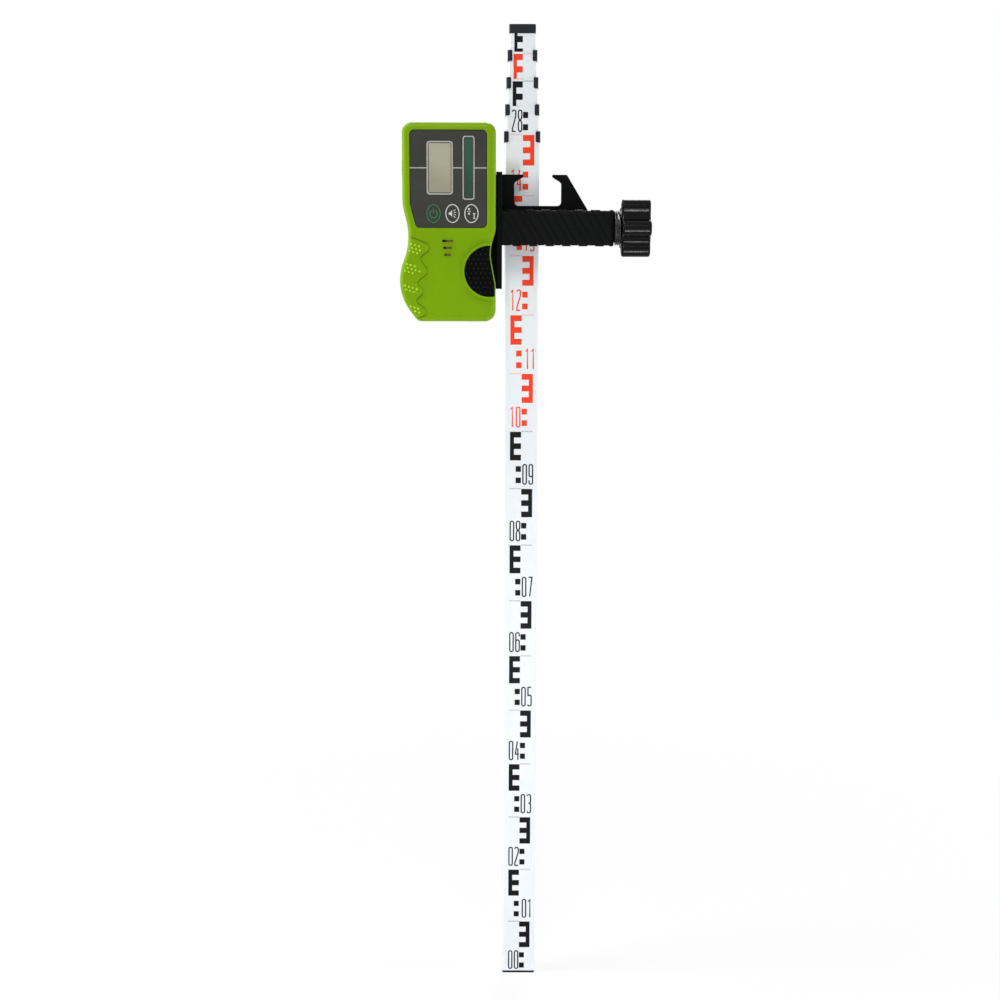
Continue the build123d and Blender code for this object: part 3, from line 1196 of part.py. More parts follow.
# Dark panel in its pocket, with openings for the display, the sensor and the buttons
with BuildPart() as front_panel:
    with BuildSketch(case_plane(PANEL_BACK)):
        add(case_sketch(PANEL_OUTLINE, PRESS_GAP))
        with Locations((LCD_X, GRADE_LINE)):
            RectangleRounded(LCD_WIDTH + seat, LCD_HEIGHT + seat, WINDOW_CORNER_RADIUS, mode=Mode.SUBTRACT)
        with Locations((SENSOR_X, GRADE_LINE)):
            RectangleRounded(
                SENSOR_WIDTH + seat, SENSOR_HEIGHT + seat, WINDOW_CORNER_RADIUS, mode=Mode.SUBTRACT
            )
        with Locations(*button_places):
            Ellipse(BUTTON_HALF_WIDTH + RUN_GAP, BUTTON_HALF_HEIGHT + RUN_GAP, mode=Mode.SUBTRACT)
    extrude(amount=PANEL_THICK)
write(front_panel.part, "front_panel")

# Display: glass in the panel's opening on a wider back that stands on the board
with BuildPart() as lcd_module:
    with BuildSketch(case_plane(BOARD_FRONT)):
        with Locations((LCD_X, GRADE_LINE)):
            RectangleRounded(LCD_WIDTH, LCD_HEIGHT, WINDOW_CORNER_RADIUS)
    extrude(amount=BOARD_FRONT - GLASS_FRONT)
    with BuildSketch(case_plane(WALL_INSIDE + LCD_FLANGE_THICK + PRESS_GAP)):
        with Locations((LCD_X, GRADE_LINE)):
            RectangleRounded(LCD_WIDTH + 2 * LCD_FLANGE, LCD_HEIGHT + 2 * LCD_FLANGE, WINDOW_CORNER_RADIUS)
    extrude(amount=LCD_FLANGE_THICK)
write(lcd_module.part, "lcd_module")

# Sensor window with a flange behind the case's wall
with BuildPart() as sensor_window:
    window_flange = WALL_INSIDE + PRESS_GAP
    with BuildSketch(case_plane(window_flange)):
        with Locations((SENSOR_X, GRADE_LINE)):
            RectangleRounded(SENSOR_WIDTH, SENSOR_HEIGHT, WINDOW_CORNER_RADIUS)
    extrude(amount=window_flange - GLASS_FRONT)
    with BuildSketch(case_plane(window_flange + WINDOW_FLANGE_THICK)):
        with Locations((SENSOR_X, GRADE_LINE)):
            RectangleRounded(
                SENSOR_WIDTH + 2 * WINDOW_FLANGE, SENSOR_HEIGHT + 2 * WINDOW_FLANGE, WINDOW_CORNER_RADIUS
            )
    extrude(amount=WINDOW_FLANGE_THICK)
write(sensor_window.part, "sensor_window")

# Photodiode strip that stands on the main board behind the window
diode_pitch = SENSOR_HEIGHT / PHOTODIODE_COUNT
with BuildPart() as sensor_board:
    with BuildSketch(case_plane(BOARD_FRONT)):
        with Locations((SENSOR_X, GRADE_LINE)):
            Rectangle(SENSOR_WIDTH, SENSOR_HEIGHT)
    extrude(amount=SENSOR_SPACER)
    diode_face = window_flange + WINDOW_FLANGE_THICK + SEAT_GAP
    with BuildSketch(case_plane(BOARD_FRONT - SENSOR_SPACER)):
        with Locations((SENSOR_X, GRADE_LINE)):
            with GridLocations(SENSOR_WIDTH, diode_pitch, 1, PHOTODIODE_COUNT):
                Rectangle(PHOTODIODE_SIZE, PHOTODIODE_SIZE)
    extrude(amount=BOARD_FRONT - SENSOR_SPACER - diode_face)
write(sensor_board.part, "sensor_board")

# Main board with a switch under each button
with BuildPart() as main_board:
    with BuildSketch(case_plane(BOARD_BACK)):
        with Locations((0, (BOARD_TOP + BOARD_BOTTOM) / 2)):
            RectangleRounded(2 * BOARD_HALF_WIDTH, BOARD_TOP - BOARD_BOTTOM, BOARD_CORNER)
        with Locations(*post_places):
            Circle(SMALL_SCREW_RADIUS + PRESS_GAP, mode=Mode.SUBTRACT)
    extrude(amount=BOARD_THICK)
    with BuildSketch(case_plane(BOARD_FRONT)):
        with Locations(*button_places):
            Rectangle(SWITCH_SIZE, SWITCH_SIZE)
    extrude(amount=SWITCH_THICK)
write(main_board.part, "main_board")

# Screws that hold the board on its posts
with BuildPart() as board_screws:
    with BuildSketch(case_plane(BOARD_BACK + SMALL_HEAD)):
        with Locations(*post_places):
            Circle(SMALL_HEAD_RADIUS)
    extrude(amount=SMALL_HEAD)
    with BuildSketch(case_plane(BOARD_BACK)):
        with Locations(*post_places):
            Circle(SMALL_SCREW_RADIUS)
    extrude(amount=BOARD_THICK + BOARD_FRONT - WALL_INSIDE - PRESS_GAP)
write(board_screws.part, "board_screws")


# Push buttons: a cap in the panel, a flange behind the wall and a stem over the switch
def build_button(place, label):
    flange_front = WALL_INSIDE + RUN_GAP
    stem_end = BOARD_FRONT - SWITCH_THICK - BUTTON_TRAVEL - SEAT_GAP
    with BuildPart() as button:
        with BuildSketch(case_plane(flange_front)):
            with Locations(place):
                Ellipse(BUTTON_HALF_WIDTH, BUTTON_HALF_HEIGHT)
        extrude(amount=flange_front - PANEL_FRONT + BUTTON_PROUD)
        with BuildSketch(case_plane(flange_front + BUTTON_FLANGE_THICK)):
            with Locations(place):
                Ellipse(BUTTON_HALF_WIDTH + BUTTON_FLANGE, BUTTON_HALF_HEIGHT + BUTTON_FLANGE)
        extrude(amount=BUTTON_FLANGE_THICK)
        with BuildSketch(case_plane(stem_end)):
            with Locations(place):
                Circle(BUTTON_STEM_RADIUS)
        extrude(amount=stem_end - flange_front)
    write(button.part, label)


for button_place, button_label in zip(button_places, BUTTON_LABELS):
    build_button(button_place, button_label)

# Buzzer on the board behind the speaker slots
with BuildPart() as buzzer:
    with BuildSketch(case_plane(BOARD_FRONT)):
        with Locations((SLOT_X, SLOT_HEIGHT - SLOT_PITCH)):
            Circle(BUZZER_RADIUS)
    extrude(amount=BOARD_FRONT - WALL_INSIDE - SEAT_GAP)
write(buzzer.part, "buzzer")

# Screws that hold the halves together from the back
with BuildPart() as case_screws:
    with BuildSketch(case_plane(RECEIVER_BACK)):
        with Locations(*screw_places):
            Circle(SMALL_HEAD_RADIUS)
    extrude(amount=SMALL_HEAD)
    with BuildSketch(case_plane(RECEIVER_BACK - SMALL_HEAD)):
        with Locations(*screw_places):
            Circle(SMALL_SCREW_RADIUS)
    extrude(amount=RECEIVER_BACK - SMALL_HEAD - FRONT_SPLIT + CASE_SCREW_BITE - PRESS_GAP)
    with BuildSketch(case_plane(RECEIVER_BACK)):
        with Locations(*screw_places):
            Rectangle(CROSS_LENGTH, CROSS_WIDTH)
            Rectangle(CROSS_WIDTH, CROSS_LENGTH)
    extrude(amount=CROSS_DEPTH, mode=Mode.SUBTRACT)
write(case_screws.part, "case_screws")

# Threaded insert for the captive screw
with BuildPart() as mounting_insert:
    with BuildSketch(case_plane(RECEIVER_BACK)):
        with Locations((0, captive_height - RECEIVER_RISE)):
            Circle(INSERT_RADIUS)
            Circle(CAPTIVE_RADIUS + SHAFT_FIT, mode=Mode.SUBTRACT)
    extrude(amount=INSERT_LENGTH)
write(mounting_insert.part, "mounting_insert")

# Cells in rows, end to end in pairs
cell_y = RECEIVER_BACK - CASE_WALL - SEAT_GAP - CELL_RADIUS
cell_stack = CELL_COLUMNS * CELL_LENGTH
bay_plane = Plane(origin=(RECEIVER_X, cell_y, RECEIVER_Z + BAY_HEIGHT), x_dir=(0, 0, 1), z_dir=(1, 0, 0))
with BuildPart() as battery_cells:
    for column in range(CELL_COLUMNS):
        cell_start = column * CELL_LENGTH - cell_stack / 2 + PRESS_GAP
        with BuildSketch(bay_plane.offset(cell_start)):
            with GridLocations(CELL_PITCH, CELL_PITCH, CELL_ROWS, 1):
                Circle(CELL_RADIUS)
        extrude(amount=CELL_LENGTH - 2 * PRESS_GAP)
write(battery_cells.part, "battery_cells")

# Contact plates at both ends of the bay, with a spring nub for each row of cells
contact_face = BAY_SPAN / 2 - PRESS_GAP
with BuildPart() as battery_contacts:
    for side in (-1, 1):
        end_plane = Plane(
            origin=(RECEIVER_X + side * contact_face, cell_y, RECEIVER_Z + BAY_HEIGHT),
            x_dir=(0, 0, 1),
            z_dir=(-side, 0, 0),
        )
        with BuildSketch(end_plane):
            Rectangle(CELL_ROWS * CELL_PITCH, 2 * CELL_RADIUS)
        extrude(amount=CONTACT_THICK)
        with BuildSketch(end_plane):
            with GridLocations(CELL_PITCH, CELL_PITCH, CELL_ROWS, 1):
                Circle(CONTACT_NUB_RADIUS)
        extrude(amount=contact_face - cell_stack / 2)
write(battery_contacts.part, "battery_contacts")

# Hatch over the bay, with thumb ribs, and a barrel on its lower edge that turns on the hinge pin
with BuildPart() as battery_hatch:
    with BuildSketch(case_plane(RECEIVER_BACK)):
        with Locations((0, (hatch_top + hatch_bottom) / 2)):
            RectangleRounded(hatch_span, hatch_top - hatch_bottom, HATCH_CORNER)
        with Locations((0, HINGE_HEIGHT)):
            Rectangle(BARREL_LENGTH, BAY_HEIGHT - HINGE_HEIGHT, align=(Align.CENTER, Align.MIN))
    extrude(amount=CASE_WALL)
    with Locations((RECEIVER_X, HINGE_Y, RECEIVER_Z + HINGE_HEIGHT)):
        Cylinder(BARREL_RADIUS, BARREL_LENGTH, rotation=(0, 90, 0))
        Cylinder(HINGE_PIN_RADIUS + SHAFT_FIT, BARREL_LENGTH, rotation=(0, 90, 0), mode=Mode.SUBTRACT)
    with BuildSketch(case_plane(RECEIVER_BACK)):
        with Locations((0, hatch_top - HATCH_RIB_DROP)):
            with GridLocations(0, HATCH_RIB_PITCH, 1, HATCH_RIBS):
                SlotOverall(HATCH_RIB_LENGTH, HATCH_RIB_WIDTH)
    extrude(amount=-HATCH_RIB_RISE)
write(battery_hatch.part, "battery_hatch")

with BuildPart() as hatch_pin:
    with Locations((RECEIVER_X, HINGE_Y, RECEIVER_Z + HINGE_HEIGHT)):
        Cylinder(HINGE_PIN_RADIUS, ear_span + 2 * EAR_THICK, rotation=(0, 90, 0))
write(hatch_pin.part, "hatch_pin")
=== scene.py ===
import json
import math

import bmesh
import bpy
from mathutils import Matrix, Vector
from mathutils.bvhtree import BVHTree


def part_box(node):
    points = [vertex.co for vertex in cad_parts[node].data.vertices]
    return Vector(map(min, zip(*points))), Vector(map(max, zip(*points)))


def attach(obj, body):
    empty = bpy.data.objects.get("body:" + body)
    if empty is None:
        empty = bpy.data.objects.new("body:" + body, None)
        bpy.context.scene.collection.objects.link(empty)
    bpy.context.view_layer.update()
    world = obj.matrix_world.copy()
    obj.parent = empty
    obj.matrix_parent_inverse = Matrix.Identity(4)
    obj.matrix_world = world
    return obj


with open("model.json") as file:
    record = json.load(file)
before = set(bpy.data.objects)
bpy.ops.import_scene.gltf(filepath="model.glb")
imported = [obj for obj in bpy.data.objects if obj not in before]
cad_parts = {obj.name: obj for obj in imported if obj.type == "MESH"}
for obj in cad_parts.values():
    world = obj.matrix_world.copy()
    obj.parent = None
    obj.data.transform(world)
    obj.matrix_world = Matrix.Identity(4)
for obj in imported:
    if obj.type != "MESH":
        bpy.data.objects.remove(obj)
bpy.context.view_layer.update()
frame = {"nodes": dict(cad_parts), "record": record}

nodes = frame["nodes"]
scene = bpy.context.scene
MM = 0.001
WHITE = (1.0, 1.0, 1.0, 1.0)

# Material helpers. Colours are sRGB triples from 0 to 255, those of metals are reflectances.
NOISE_LOW, NOISE_HIGH = 0.3, 0.7  # most of a noise's values lie between these
TONE_LOW, TONE_HIGH = 0.32, 0.68  # where a colour ramp reaches its two tones
GLOSS_SPREAD = 0.05
SMEAR_SCALE = 4.0  # marks on the gloss are finer than patches of colour by this
materials = {}


def add_node(tree, kind, values):
    """A shader node with constants on its named inputs."""
    made = tree.nodes.new(kind)
    for name, value in values.items():
        made.inputs[name].default_value = value
    return made


def new_material(name, values):
    """A node material whose Principled shader has these constants."""
    made = bpy.data.materials.new(name)
    made.use_nodes = True
    tree = made.node_tree
    tree.nodes.clear()
    output = tree.nodes.new("ShaderNodeOutputMaterial")
    shader = add_node(tree, "ShaderNodeBsdfPrincipled", values)
    tree.links.new(shader.outputs["BSDF"], output.inputs["Surface"])
    materials[name] = made
    return tree, shader


def linear(srgb):
    """Scene colour of an sRGB triple from 0 to 255."""
    out = []
    for channel in srgb:
        part = channel / 255
        out.append(part / 12.92 if part <= 0.04045 else ((part + 0.055) / 1.055) ** 2.4)
    return tuple(out)


def shade(colour, factor):
    return tuple(min(1.0, channel * factor) for channel in colour)


def noise(tree, scale, detail):
    """A noise texture on the object's own coordinates, in metres."""
    place = tree.nodes.new("ShaderNodeTexCoord")
    texture = add_node(tree, "ShaderNodeTexNoise", {"Scale": scale, "Detail": detail})
    tree.links.new(place.outputs["Object"], texture.inputs["Vector"])
    return texture.outputs["Fac"]


def spread(tree, value, low, high):
    """Maps the middle of a noise to a range."""
    limits = {"From Min": NOISE_LOW, "From Max": NOISE_HIGH, "To Min": low, "To Max": high}
    ramp = add_node(tree, "ShaderNodeMapRange", limits)
    tree.links.new(value, ramp.inputs["Value"])
    return ramp.outputs["Result"]


def tones(tree, value, dark, light):
    """A colour between two tones, chosen by a noise."""
    ramp = tree.nodes.new("ShaderNodeValToRGB")
    for element, position, tone in zip(ramp.color_ramp.elements, (TONE_LOW, TONE_HIGH), (dark, light)):
        element.position = position
        element.color = (*tone, 1.0)
    tree.links.new(value, ramp.inputs["Fac"])
    return ramp.outputs["Color"]


def bump(tree, shader, height, strength, depth):
    """Fine relief with a depth in millimetres."""
    relief = add_node(tree, "ShaderNodeBump", {"Strength": strength, "Distance": depth * MM})
    tree.links.new(height, relief.inputs["Height"])
    tree.links.new(relief.outputs["Normal"], shader.inputs["Normal"])


def moulded(name, srgb, rough, grain=900.0, depth=0.06, specular=0.5, mottle=0.06, patch=14.0):
    """Moulded plastic: fine grain, a little unevenness of colour and gloss."""
    tree, shader = new_material(name, {"Specular IOR Level": specular})
    colour = linear(srgb)
    cloud = noise(tree, patch, detail=3.0)
    mottled = tones(tree, cloud, shade(colour, 1 - mottle), shade(colour, 1 + mottle))
    tree.links.new(mottled, shader.inputs["Base Color"])
    smear = noise(tree, SMEAR_SCALE * patch, detail=4.0)
    gloss = spread(tree, smear, rough - GLOSS_SPREAD, rough + GLOSS_SPREAD)
    tree.links.new(gloss, shader.inputs["Roughness"])
    bump(tree, shader, noise(tree, grain, detail=2.0), strength=0.35, depth=depth)


def metal(name, reflectance, rough):
    """Bare or plated metal with fine turning or drawing marks."""
    tree, shader = new_material(name, {"Metallic": 1.0})
    marks = noise(tree, scale=600.0, detail=3.0)
    tarnish = tones(tree, marks, shade(reflectance, 0.86), shade(reflectance, 1.08))
    tree.links.new(tarnish, shader.inputs["Base Color"])
    tree.links.new(spread(tree, marks, rough - 0.06, rough + 0.08), shader.inputs["Roughness"])
    bump(tree, shader, marks, strength=0.25, depth=0.02)


def printed(name, srgb):
    """Printing ink, a little thin in places."""
    tree, shader = new_material(name, {"Roughness": 0.45, "Specular IOR Level": 0.08})
    colour = linear(srgb)
    specks = tones(tree, noise(tree, scale=700.0, detail=2.0), shade(colour, 0.92), shade(colour, 1.08))
    tree.links.new(specks, shader.inputs["Base Color"])


def painted_top_light(name, low, high, rough):
    """Glass or film whose colour grows lighter up the face: painted light from above."""
    tree, shader = new_material(name, {"Specular IOR Level": 0.4})
    place = tree.nodes.new("ShaderNodeTexCoord")
    tilt = add_node(tree, "ShaderNodeMapping", {"Rotation": (0.0, math.radians(80.0), 0.0)})
    tree.links.new(place.outputs["Generated"], tilt.inputs["Vector"])
    sweep = tree.nodes.new("ShaderNodeTexGradient")
    tree.links.new(tilt.outputs["Vector"], sweep.inputs["Vector"])
    colour = tones(tree, sweep.outputs["Fac"], linear(low), linear(high))
    tree.links.new(colour, shader.inputs["Base Color"])
    gloss = spread(tree, noise(tree, scale=60.0, detail=3.0), rough - 0.01, rough + 0.01)
    tree.links.new(gloss, shader.inputs["Roughness"])


# Staff
moulded("staff_white", (238, 242, 247), 0.42, grain=1400.0, depth=0.03, mottle=0.012, specular=0.3)
moulded("staff_dark", (31, 35, 43), 0.5, grain=1100.0, specular=0.12)
moulded("plug_plastic", (120, 120, 124), 0.55)

# Metal pieces
metal("steel", (0.62, 0.62, 0.63), 0.3)
# The spring's near-black reflectance is painted shade: it darkens the whole spring the way the knob's
# shadow does.
metal("spring_steel", (0.07, 0.07, 0.07), 0.3)
metal("brass", (0.72, 0.53, 0.22), 0.28)
metal("contact_metal", (0.75, 0.68, 0.48), 0.3)

# Receiver
moulded("case_lime", (123, 165, 0), 0.34, grain=1500.0, depth=0.03, specular=0.12, mottle=0.025)
# Paler lime for the tops of the finger grip dots: a painted highlight.
moulded("lime_dot_highlight", (176, 214, 52), 0.3, grain=1500.0, depth=0.02, specular=0.2, mottle=0.04)
moulded("panel_dark", (49, 50, 44), 0.22, grain=500.0, depth=0.02, specular=0.3, mottle=0.16)
# The LCD and the sensor window are lighter towards the top: painted light from above.
painted_top_light("lcd_grey", (156, 152, 131), (172, 170, 147), 0.25)
painted_top_light("sensor_green", (26, 60, 46), (36, 76, 60), 0.16)
moulded("thumb_rubber", (6, 7, 7), 0.6, grain=1200.0, depth=0.1, specular=0.03)
moulded("pale_dot_rubber", (34, 36, 37), 0.5, grain=1200.0, depth=0.05, specular=0.1)
moulded("seal_rubber", (20, 20, 20), 0.7)
moulded("board_green", (30, 96, 60), 0.4)
moulded("buzzer_black", (24, 24, 24), 0.5)
moulded("cell_wrap", (48, 50, 56), 0.35)
moulded("speaker_cloth", (128, 100, 44), 0.8, grain=2600.0, depth=0.4, mottle=0.3, patch=900.0)

# Clamp
moulded("clamp_black", (8, 9, 9), 0.5, grain=1000.0, depth=0.08, specular=0.04)
moulded("sleeve_rubber", (10, 12, 11), 0.55, depth=0.12, specular=0.06)
moulded("knob_black", (7, 7, 10), 0.16, grain=500.0, depth=0.002, specular=0.1)

# Inks
printed("ink_black", (19, 19, 21))
printed("ink_red", (255, 72, 44))
printed("ink_grey", (182, 184, 176))
printed("ink_green", (66, 124, 84))
printed("ink_white", (214, 216, 210))
# Navy for the line along the panel's edge: painted shade of the gap around the panel.
printed("navy_gap_shade", (18, 15, 40))

for subpart in frame["record"]["subparts"]:
    finishes = nodes[subpart["node"]].data.materials
    finishes.clear()
    finishes.append(materials[subpart["material_slot"]])

# Sharp moulded and cut edges catch the light: bevels on the CAD nodes, by their width in millimetres
WELD_REACH = 0.001
EDGE_SEGMENTS = 2
CREASE = 35.0
SOFT_EDGES = {
    0.7: ("fixed_jaw", "moving_jaw"),
    0.6: ("grip_sleeve", "mount_bracket", "front_case", "battery_hatch"),
    0.5: ("top_cap", "collar_1", "collar_2", "collar_3", "collar_4", "rear_case"),
    0.4: ("base_shoe",),
    0.3: ("front_panel",),
}


def soften(name, width):
    modifiers = nodes[name].modifiers
    weld = modifiers.new("weld", "WELD")
    weld.merge_threshold = WELD_REACH * MM
    edge = modifiers.new("edge", "BEVEL")
    edge.width = width * MM
    edge.segments = EDGE_SEGMENTS
    edge.limit_method = "ANGLE"
    edge.angle_limit = math.radians(CREASE)
    edge.use_clamp_overlap = True
    even = modifiers.new("even", "WEIGHTED_NORMAL")
    even.keep_sharp = False


for width, names in SOFT_EDGES.items():
    for name in names:
        soften(name, width)


# Pieces made here ride on the CAD's bodies
def add_piece(name, work, finishes, body, smooth):
    """Turns finished mesh work into a piece on a body."""
    bmesh.ops.recalc_face_normals(work, faces=work.faces)
    data = bpy.data.meshes.new(name)
    work.to_mesh(data)
    work.free()
    if smooth:
        data.shade_smooth()
    for finish in finishes:
        data.materials.append(materials[finish])
    piece = bpy.data.objects.new(name, data)
    scene.collection.objects.link(piece)
    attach(piece, body)


# Flat printed work: thin closed prisms on a face that looks along -Y
INK = 0.00005
LAYER = 0.000002
LAYERS = 5
MITRE_LIMIT = 0.5


class Print:
    """Collects flat shapes on one face, then makes one thin mesh of them."""

    def __init__(self, face_y, inks):
        self.face_y = face_y
        self.inks = inks
        self.mesh = bmesh.new()
        self.layer = 0

    def loop(self, points, depth):
        """A loop of corners at a depth behind the face."""
        return [self.mesh.verts.new((x, self.face_y + depth, z)) for x, z in points]

    def polygon(self, points, ink=0):
        """One closed shape, given as (x, z) points, a hair above or below the one before."""
        self.layer = (self.layer + 1) % LAYERS
        front = self.loop(points, -INK - self.layer * LAYER)
        back = self.loop(points, INK)
        count = len(points)
        faces = [self.mesh.faces.new(front), self.mesh.faces.new(back[::-1])]
        for index in range(count):
            after = (index + 1) % count
            faces.append(self.mesh.faces.new((front[index], back[index], back[after], front[after])))
        for face in faces:
            face.material_index = ink

    def band(self, outer, inner, ink=0):
        """A closed ring between two loops with the same number of points."""
        outer_front, inner_front = self.loop(outer, -INK), self.loop(inner, -INK)
        outer_back, inner_back = self.loop(outer, INK), self.loop(inner, INK)
        around = (outer_front, inner_front, inner_back, outer_back, outer_front)
        count = len(outer)
        for index in range(count):
            after = (index + 1) % count
            for one, other in zip(around, around[1:]):
                face = self.mesh.faces.new((one[index], other[index], other[after], one[after]))
                face.material_index = ink

    def stroke(self, points, width, ink=0, closed=False):
        """A line of constant width through points."""
        count = len(points)
        lefts, rights = [], []
        for index, point in enumerate(points):
            if closed:
                before, after = points[index - 1], points[(index + 1) % count]
            else:
                before, after = points[max(index - 1, 0)], points[min(index + 1, count - 1)]
            arriving = (Vector(point) - Vector(before)).normalized()
            leaving = (Vector(after) - Vector(point)).normalized()
            if arriving.length == 0:
                arriving = leaving
            if leaving.length == 0:
                leaving = arriving
            tangent = (arriving + leaving).normalized()
            reach = width / 2 / max(MITRE_LIMIT, tangent.dot(leaving))
            aside = Vector((-tangent.y, tangent.x)) * reach
            lefts.append(tuple(Vector(point) + aside))
            rights.append(tuple(Vector(point) - aside))
        if closed:
            self.band(lefts, rights, ink)
            return
        for index in range(count - 1):
            self.polygon([lefts[index], lefts[index + 1], rights[index + 1], rights[index]], ink)

    def finish(self, name, body, slot):
        add_piece(name, self.mesh, self.inks, body, smooth=False)


# Flat outlines, as lists of (x, z) points
ROUND_STEP = 22.5  # degrees between the points of a round stretch
CORNER_STEPS = 6


def arc(centre, across, up, start, end, step=ROUND_STEP):
    """Points on an ellipse's arc, angles in degrees."""
    count = round(abs(end - start) / step)
    angles = [math.radians(start + (end - start) * index / count) for index in range(count + 1)]
    return [(centre[0] + across * math.cos(angle), centre[1] + up * math.sin(angle)) for angle in angles]


def corners(left, right, low, high):
    return [(left, low), (right, low), (right, high), (left, high)]


def inset(points, distance):
    """A closed outline that runs anticlockwise, drawn in by a distance."""
    drawn_in = []
    for index, point in enumerate(points):
        arriving = (Vector(point) - Vector(points[index - 1])).normalized()
        leaving = (Vector(points[(index + 1) % len(points)]) - Vector(point)).normalized()
        both = arriving + leaving
        inwards = Vector((-both.y, both.x)) / (1 + arriving.dot(leaving))
        drawn_in.append(Vector(point) + inwards * distance)
    return drawn_in


def rounded(points, radius):
    """A closed outline with every corner rounded."""
    out = []
    count = len(points)
    for index in range(count):
        corner = Vector(points[index])
        before = (Vector(points[index - 1]) - corner).normalized()
        after = (Vector(points[(index + 1) % count]) - corner).normalized()
        half = before.angle(after) / 2
        reach = radius / math.tan(half)
        centre = corner + (before + after).normalized() * (radius / math.sin(half))
        start = corner + before * reach - centre
        end = corner + after * reach - centre
        first = math.atan2(start.y, start.x)
        turn = math.atan2(end.y, end.x) - first
        turn = (turn + math.pi) % (2 * math.pi) - math.pi
        for step in range(CORNER_STEPS + 1):
            angle = first + turn * step / CORNER_STEPS
            out.append((centre.x + radius * math.cos(angle), centre.y + radius * math.sin(angle)))
    return out


def clip(points, limit, keep):
    """The part of an outline above (keep 1) or below (keep -1) a height."""
    kept = []
    for index, point in enumerate(points):
        before = points[index - 1]
        inside = keep * (point[1] - limit) >= 0
        if inside != (keep * (before[1] - limit) >= 0):
            share = (limit - before[1]) / (point[1] - before[1])
            kept.append((before[0] + share * (point[0] - before[0]), limit))
        if inside:
            kept.append(point)
    return kept


# Narrow figures drawn as strokes in a box one unit wide and TOP units high. A 1 is narrower.
TOP = 5.75
WAIST = 0.53 * TOP
BOWL = 0.5
UPPER, LOWER = TOP - BOWL, BOWL  # middles of the bowls at the two ends
POINTED = 1.3  # the long bowls that meet at the waist of an 8
POINTED_STEP = 15.0
TONGUE = 0.35
NARROW = 0.5
OPEN, CLOSED = False, True


def bowl(height, start, end, rise=BOWL, step=ROUND_STEP):
    """A round stretch as wide as the box, about a middle at a height."""
    return arc((0.5, height), 0.5, rise, start, end, step)


FIGURES = {
    "0": [(bowl(UPPER, 0, 180) + bowl(LOWER, 180, 360), CLOSED)],
    "1": [([(0.0, TOP - 0.75), (NARROW, TOP - 0.05), (NARROW, 0.0)], OPEN)],
    "2": [(bowl(UPPER, 180, 0) + [(1.0, 0.72 * TOP), (0.0, 0.12 * TOP), (0.0, 0.0), (1.0, 0.0)], OPEN)],
    "3": [
        (bowl(UPPER, 180, 0) + bowl(WAIST + BOWL, 0, -90) + [(TONGUE, WAIST)], OPEN),
        ([(TONGUE, WAIST)] + bowl(WAIST - BOWL, 90, 0) + bowl(LOWER, 0, -180), OPEN),
    ],
    "4": [
        ([(0.75, 0.0), (0.75, 0.62 * TOP)], OPEN),
        ([(0.6, TOP), (0.0, 0.3 * TOP), (1.0, 0.3 * TOP)], OPEN),
    ],
    "5": [
        ([(1.0, TOP), (0.05, TOP), (0.05, WAIST)], OPEN),
        (bowl(WAIST - 0.2, 150, 0) + bowl(LOWER, 0, -180), OPEN),
    ],
    "6": [
        (bowl(WAIST, 0, 180) + bowl(LOWER, 180, 360), CLOSED),
        ([(0.0, WAIST)] + bowl(UPPER, 180, 0) + [(1.0, 0.8 * TOP)], OPEN),
    ],
    "7": [([(0.0, TOP), (1.0, TOP), (0.38, 0.0)], OPEN)],
    "8": [
        (bowl(UPPER, 0, 180) + bowl(WAIST + POINTED, 180, 360, POINTED, POINTED_STEP), CLOSED),
        (bowl(WAIST - POINTED, 0, 180, POINTED, POINTED_STEP) + bowl(LOWER, 180, 360), CLOSED),
    ],
    "9": [
        (bowl(UPPER, 0, 180) + bowl(TOP - WAIST, 180, 360), CLOSED),
        ([(1.0, TOP - WAIST)] + bowl(LOWER, 0, -180) + [(0.0, 0.2 * TOP)], OPEN),
    ],
}

# Levelling scale: blocks of a decimetre with an E and two squares, bars and squares a centimetre high
CENTIMETRE = 0.01
BLOCK = 10 * CENTIMETRE
REFERENCE_WIDTH = 0.058  # of the section that these widths are for
PRINT_SHIFT = 0.001  # of the scale's middle line, to the right
MIDDLE = 0.0003
SQUARE = 0.0092
E_WIDTH = 0.0195
SPINE = 0.007
NOTCH = E_WIDTH - SPINE
DASHES = 6
DASH_START, DASH_END = 0.15, 0.9  # shares of a dash's pitch
DASH_HEIGHT = 0.0009
FIGURE_WIDTH = 0.006
FIGURE_STROKE = 0.0023
FIGURE_FOOT = 0.00835
FIGURE_GAP = 0.0024
NARROW_GAP = 0.0046
FIGURES_LEFT, FIGURES_RIGHT = -0.0197, 0.021
CUT = 0.0015  # between a section's ends and its print
STAFF_BODIES = ("staff_base", "tube_2", "tube_3", "tube_4", "tube_5")
SCALE_SHIFTS = (0.0, 1.3024, 2.6127, 3.9683, 5.3194)  # reading less height, with the staff closed

# Outlines of a block's shapes: metres from the middle line, centimetres from its foot
BLOCK_OUTLINES = (
    corners(MIDDLE, MIDDLE + SQUARE, 1, 2),
    corners(MIDDLE, MIDDLE + SQUARE, 3, 4),
    [
        (MIDDLE, 10),
        (MIDDLE, 9),
        (NOTCH, 9),
        (NOTCH, 8),
        (MIDDLE, 8),
        (MIDDLE, 7),
        (NOTCH, 7),
        (NOTCH, 6),
        (MIDDLE, 6),
        (MIDDLE, 5),
        (E_WIDTH, 5),
        (E_WIDTH, 10),
    ],
)


def figure_width(figure):
    """Width of a figure's ink."""
    return (NARROW if figure == "1" else 1.0) * FIGURE_WIDTH + FIGURE_STROKE


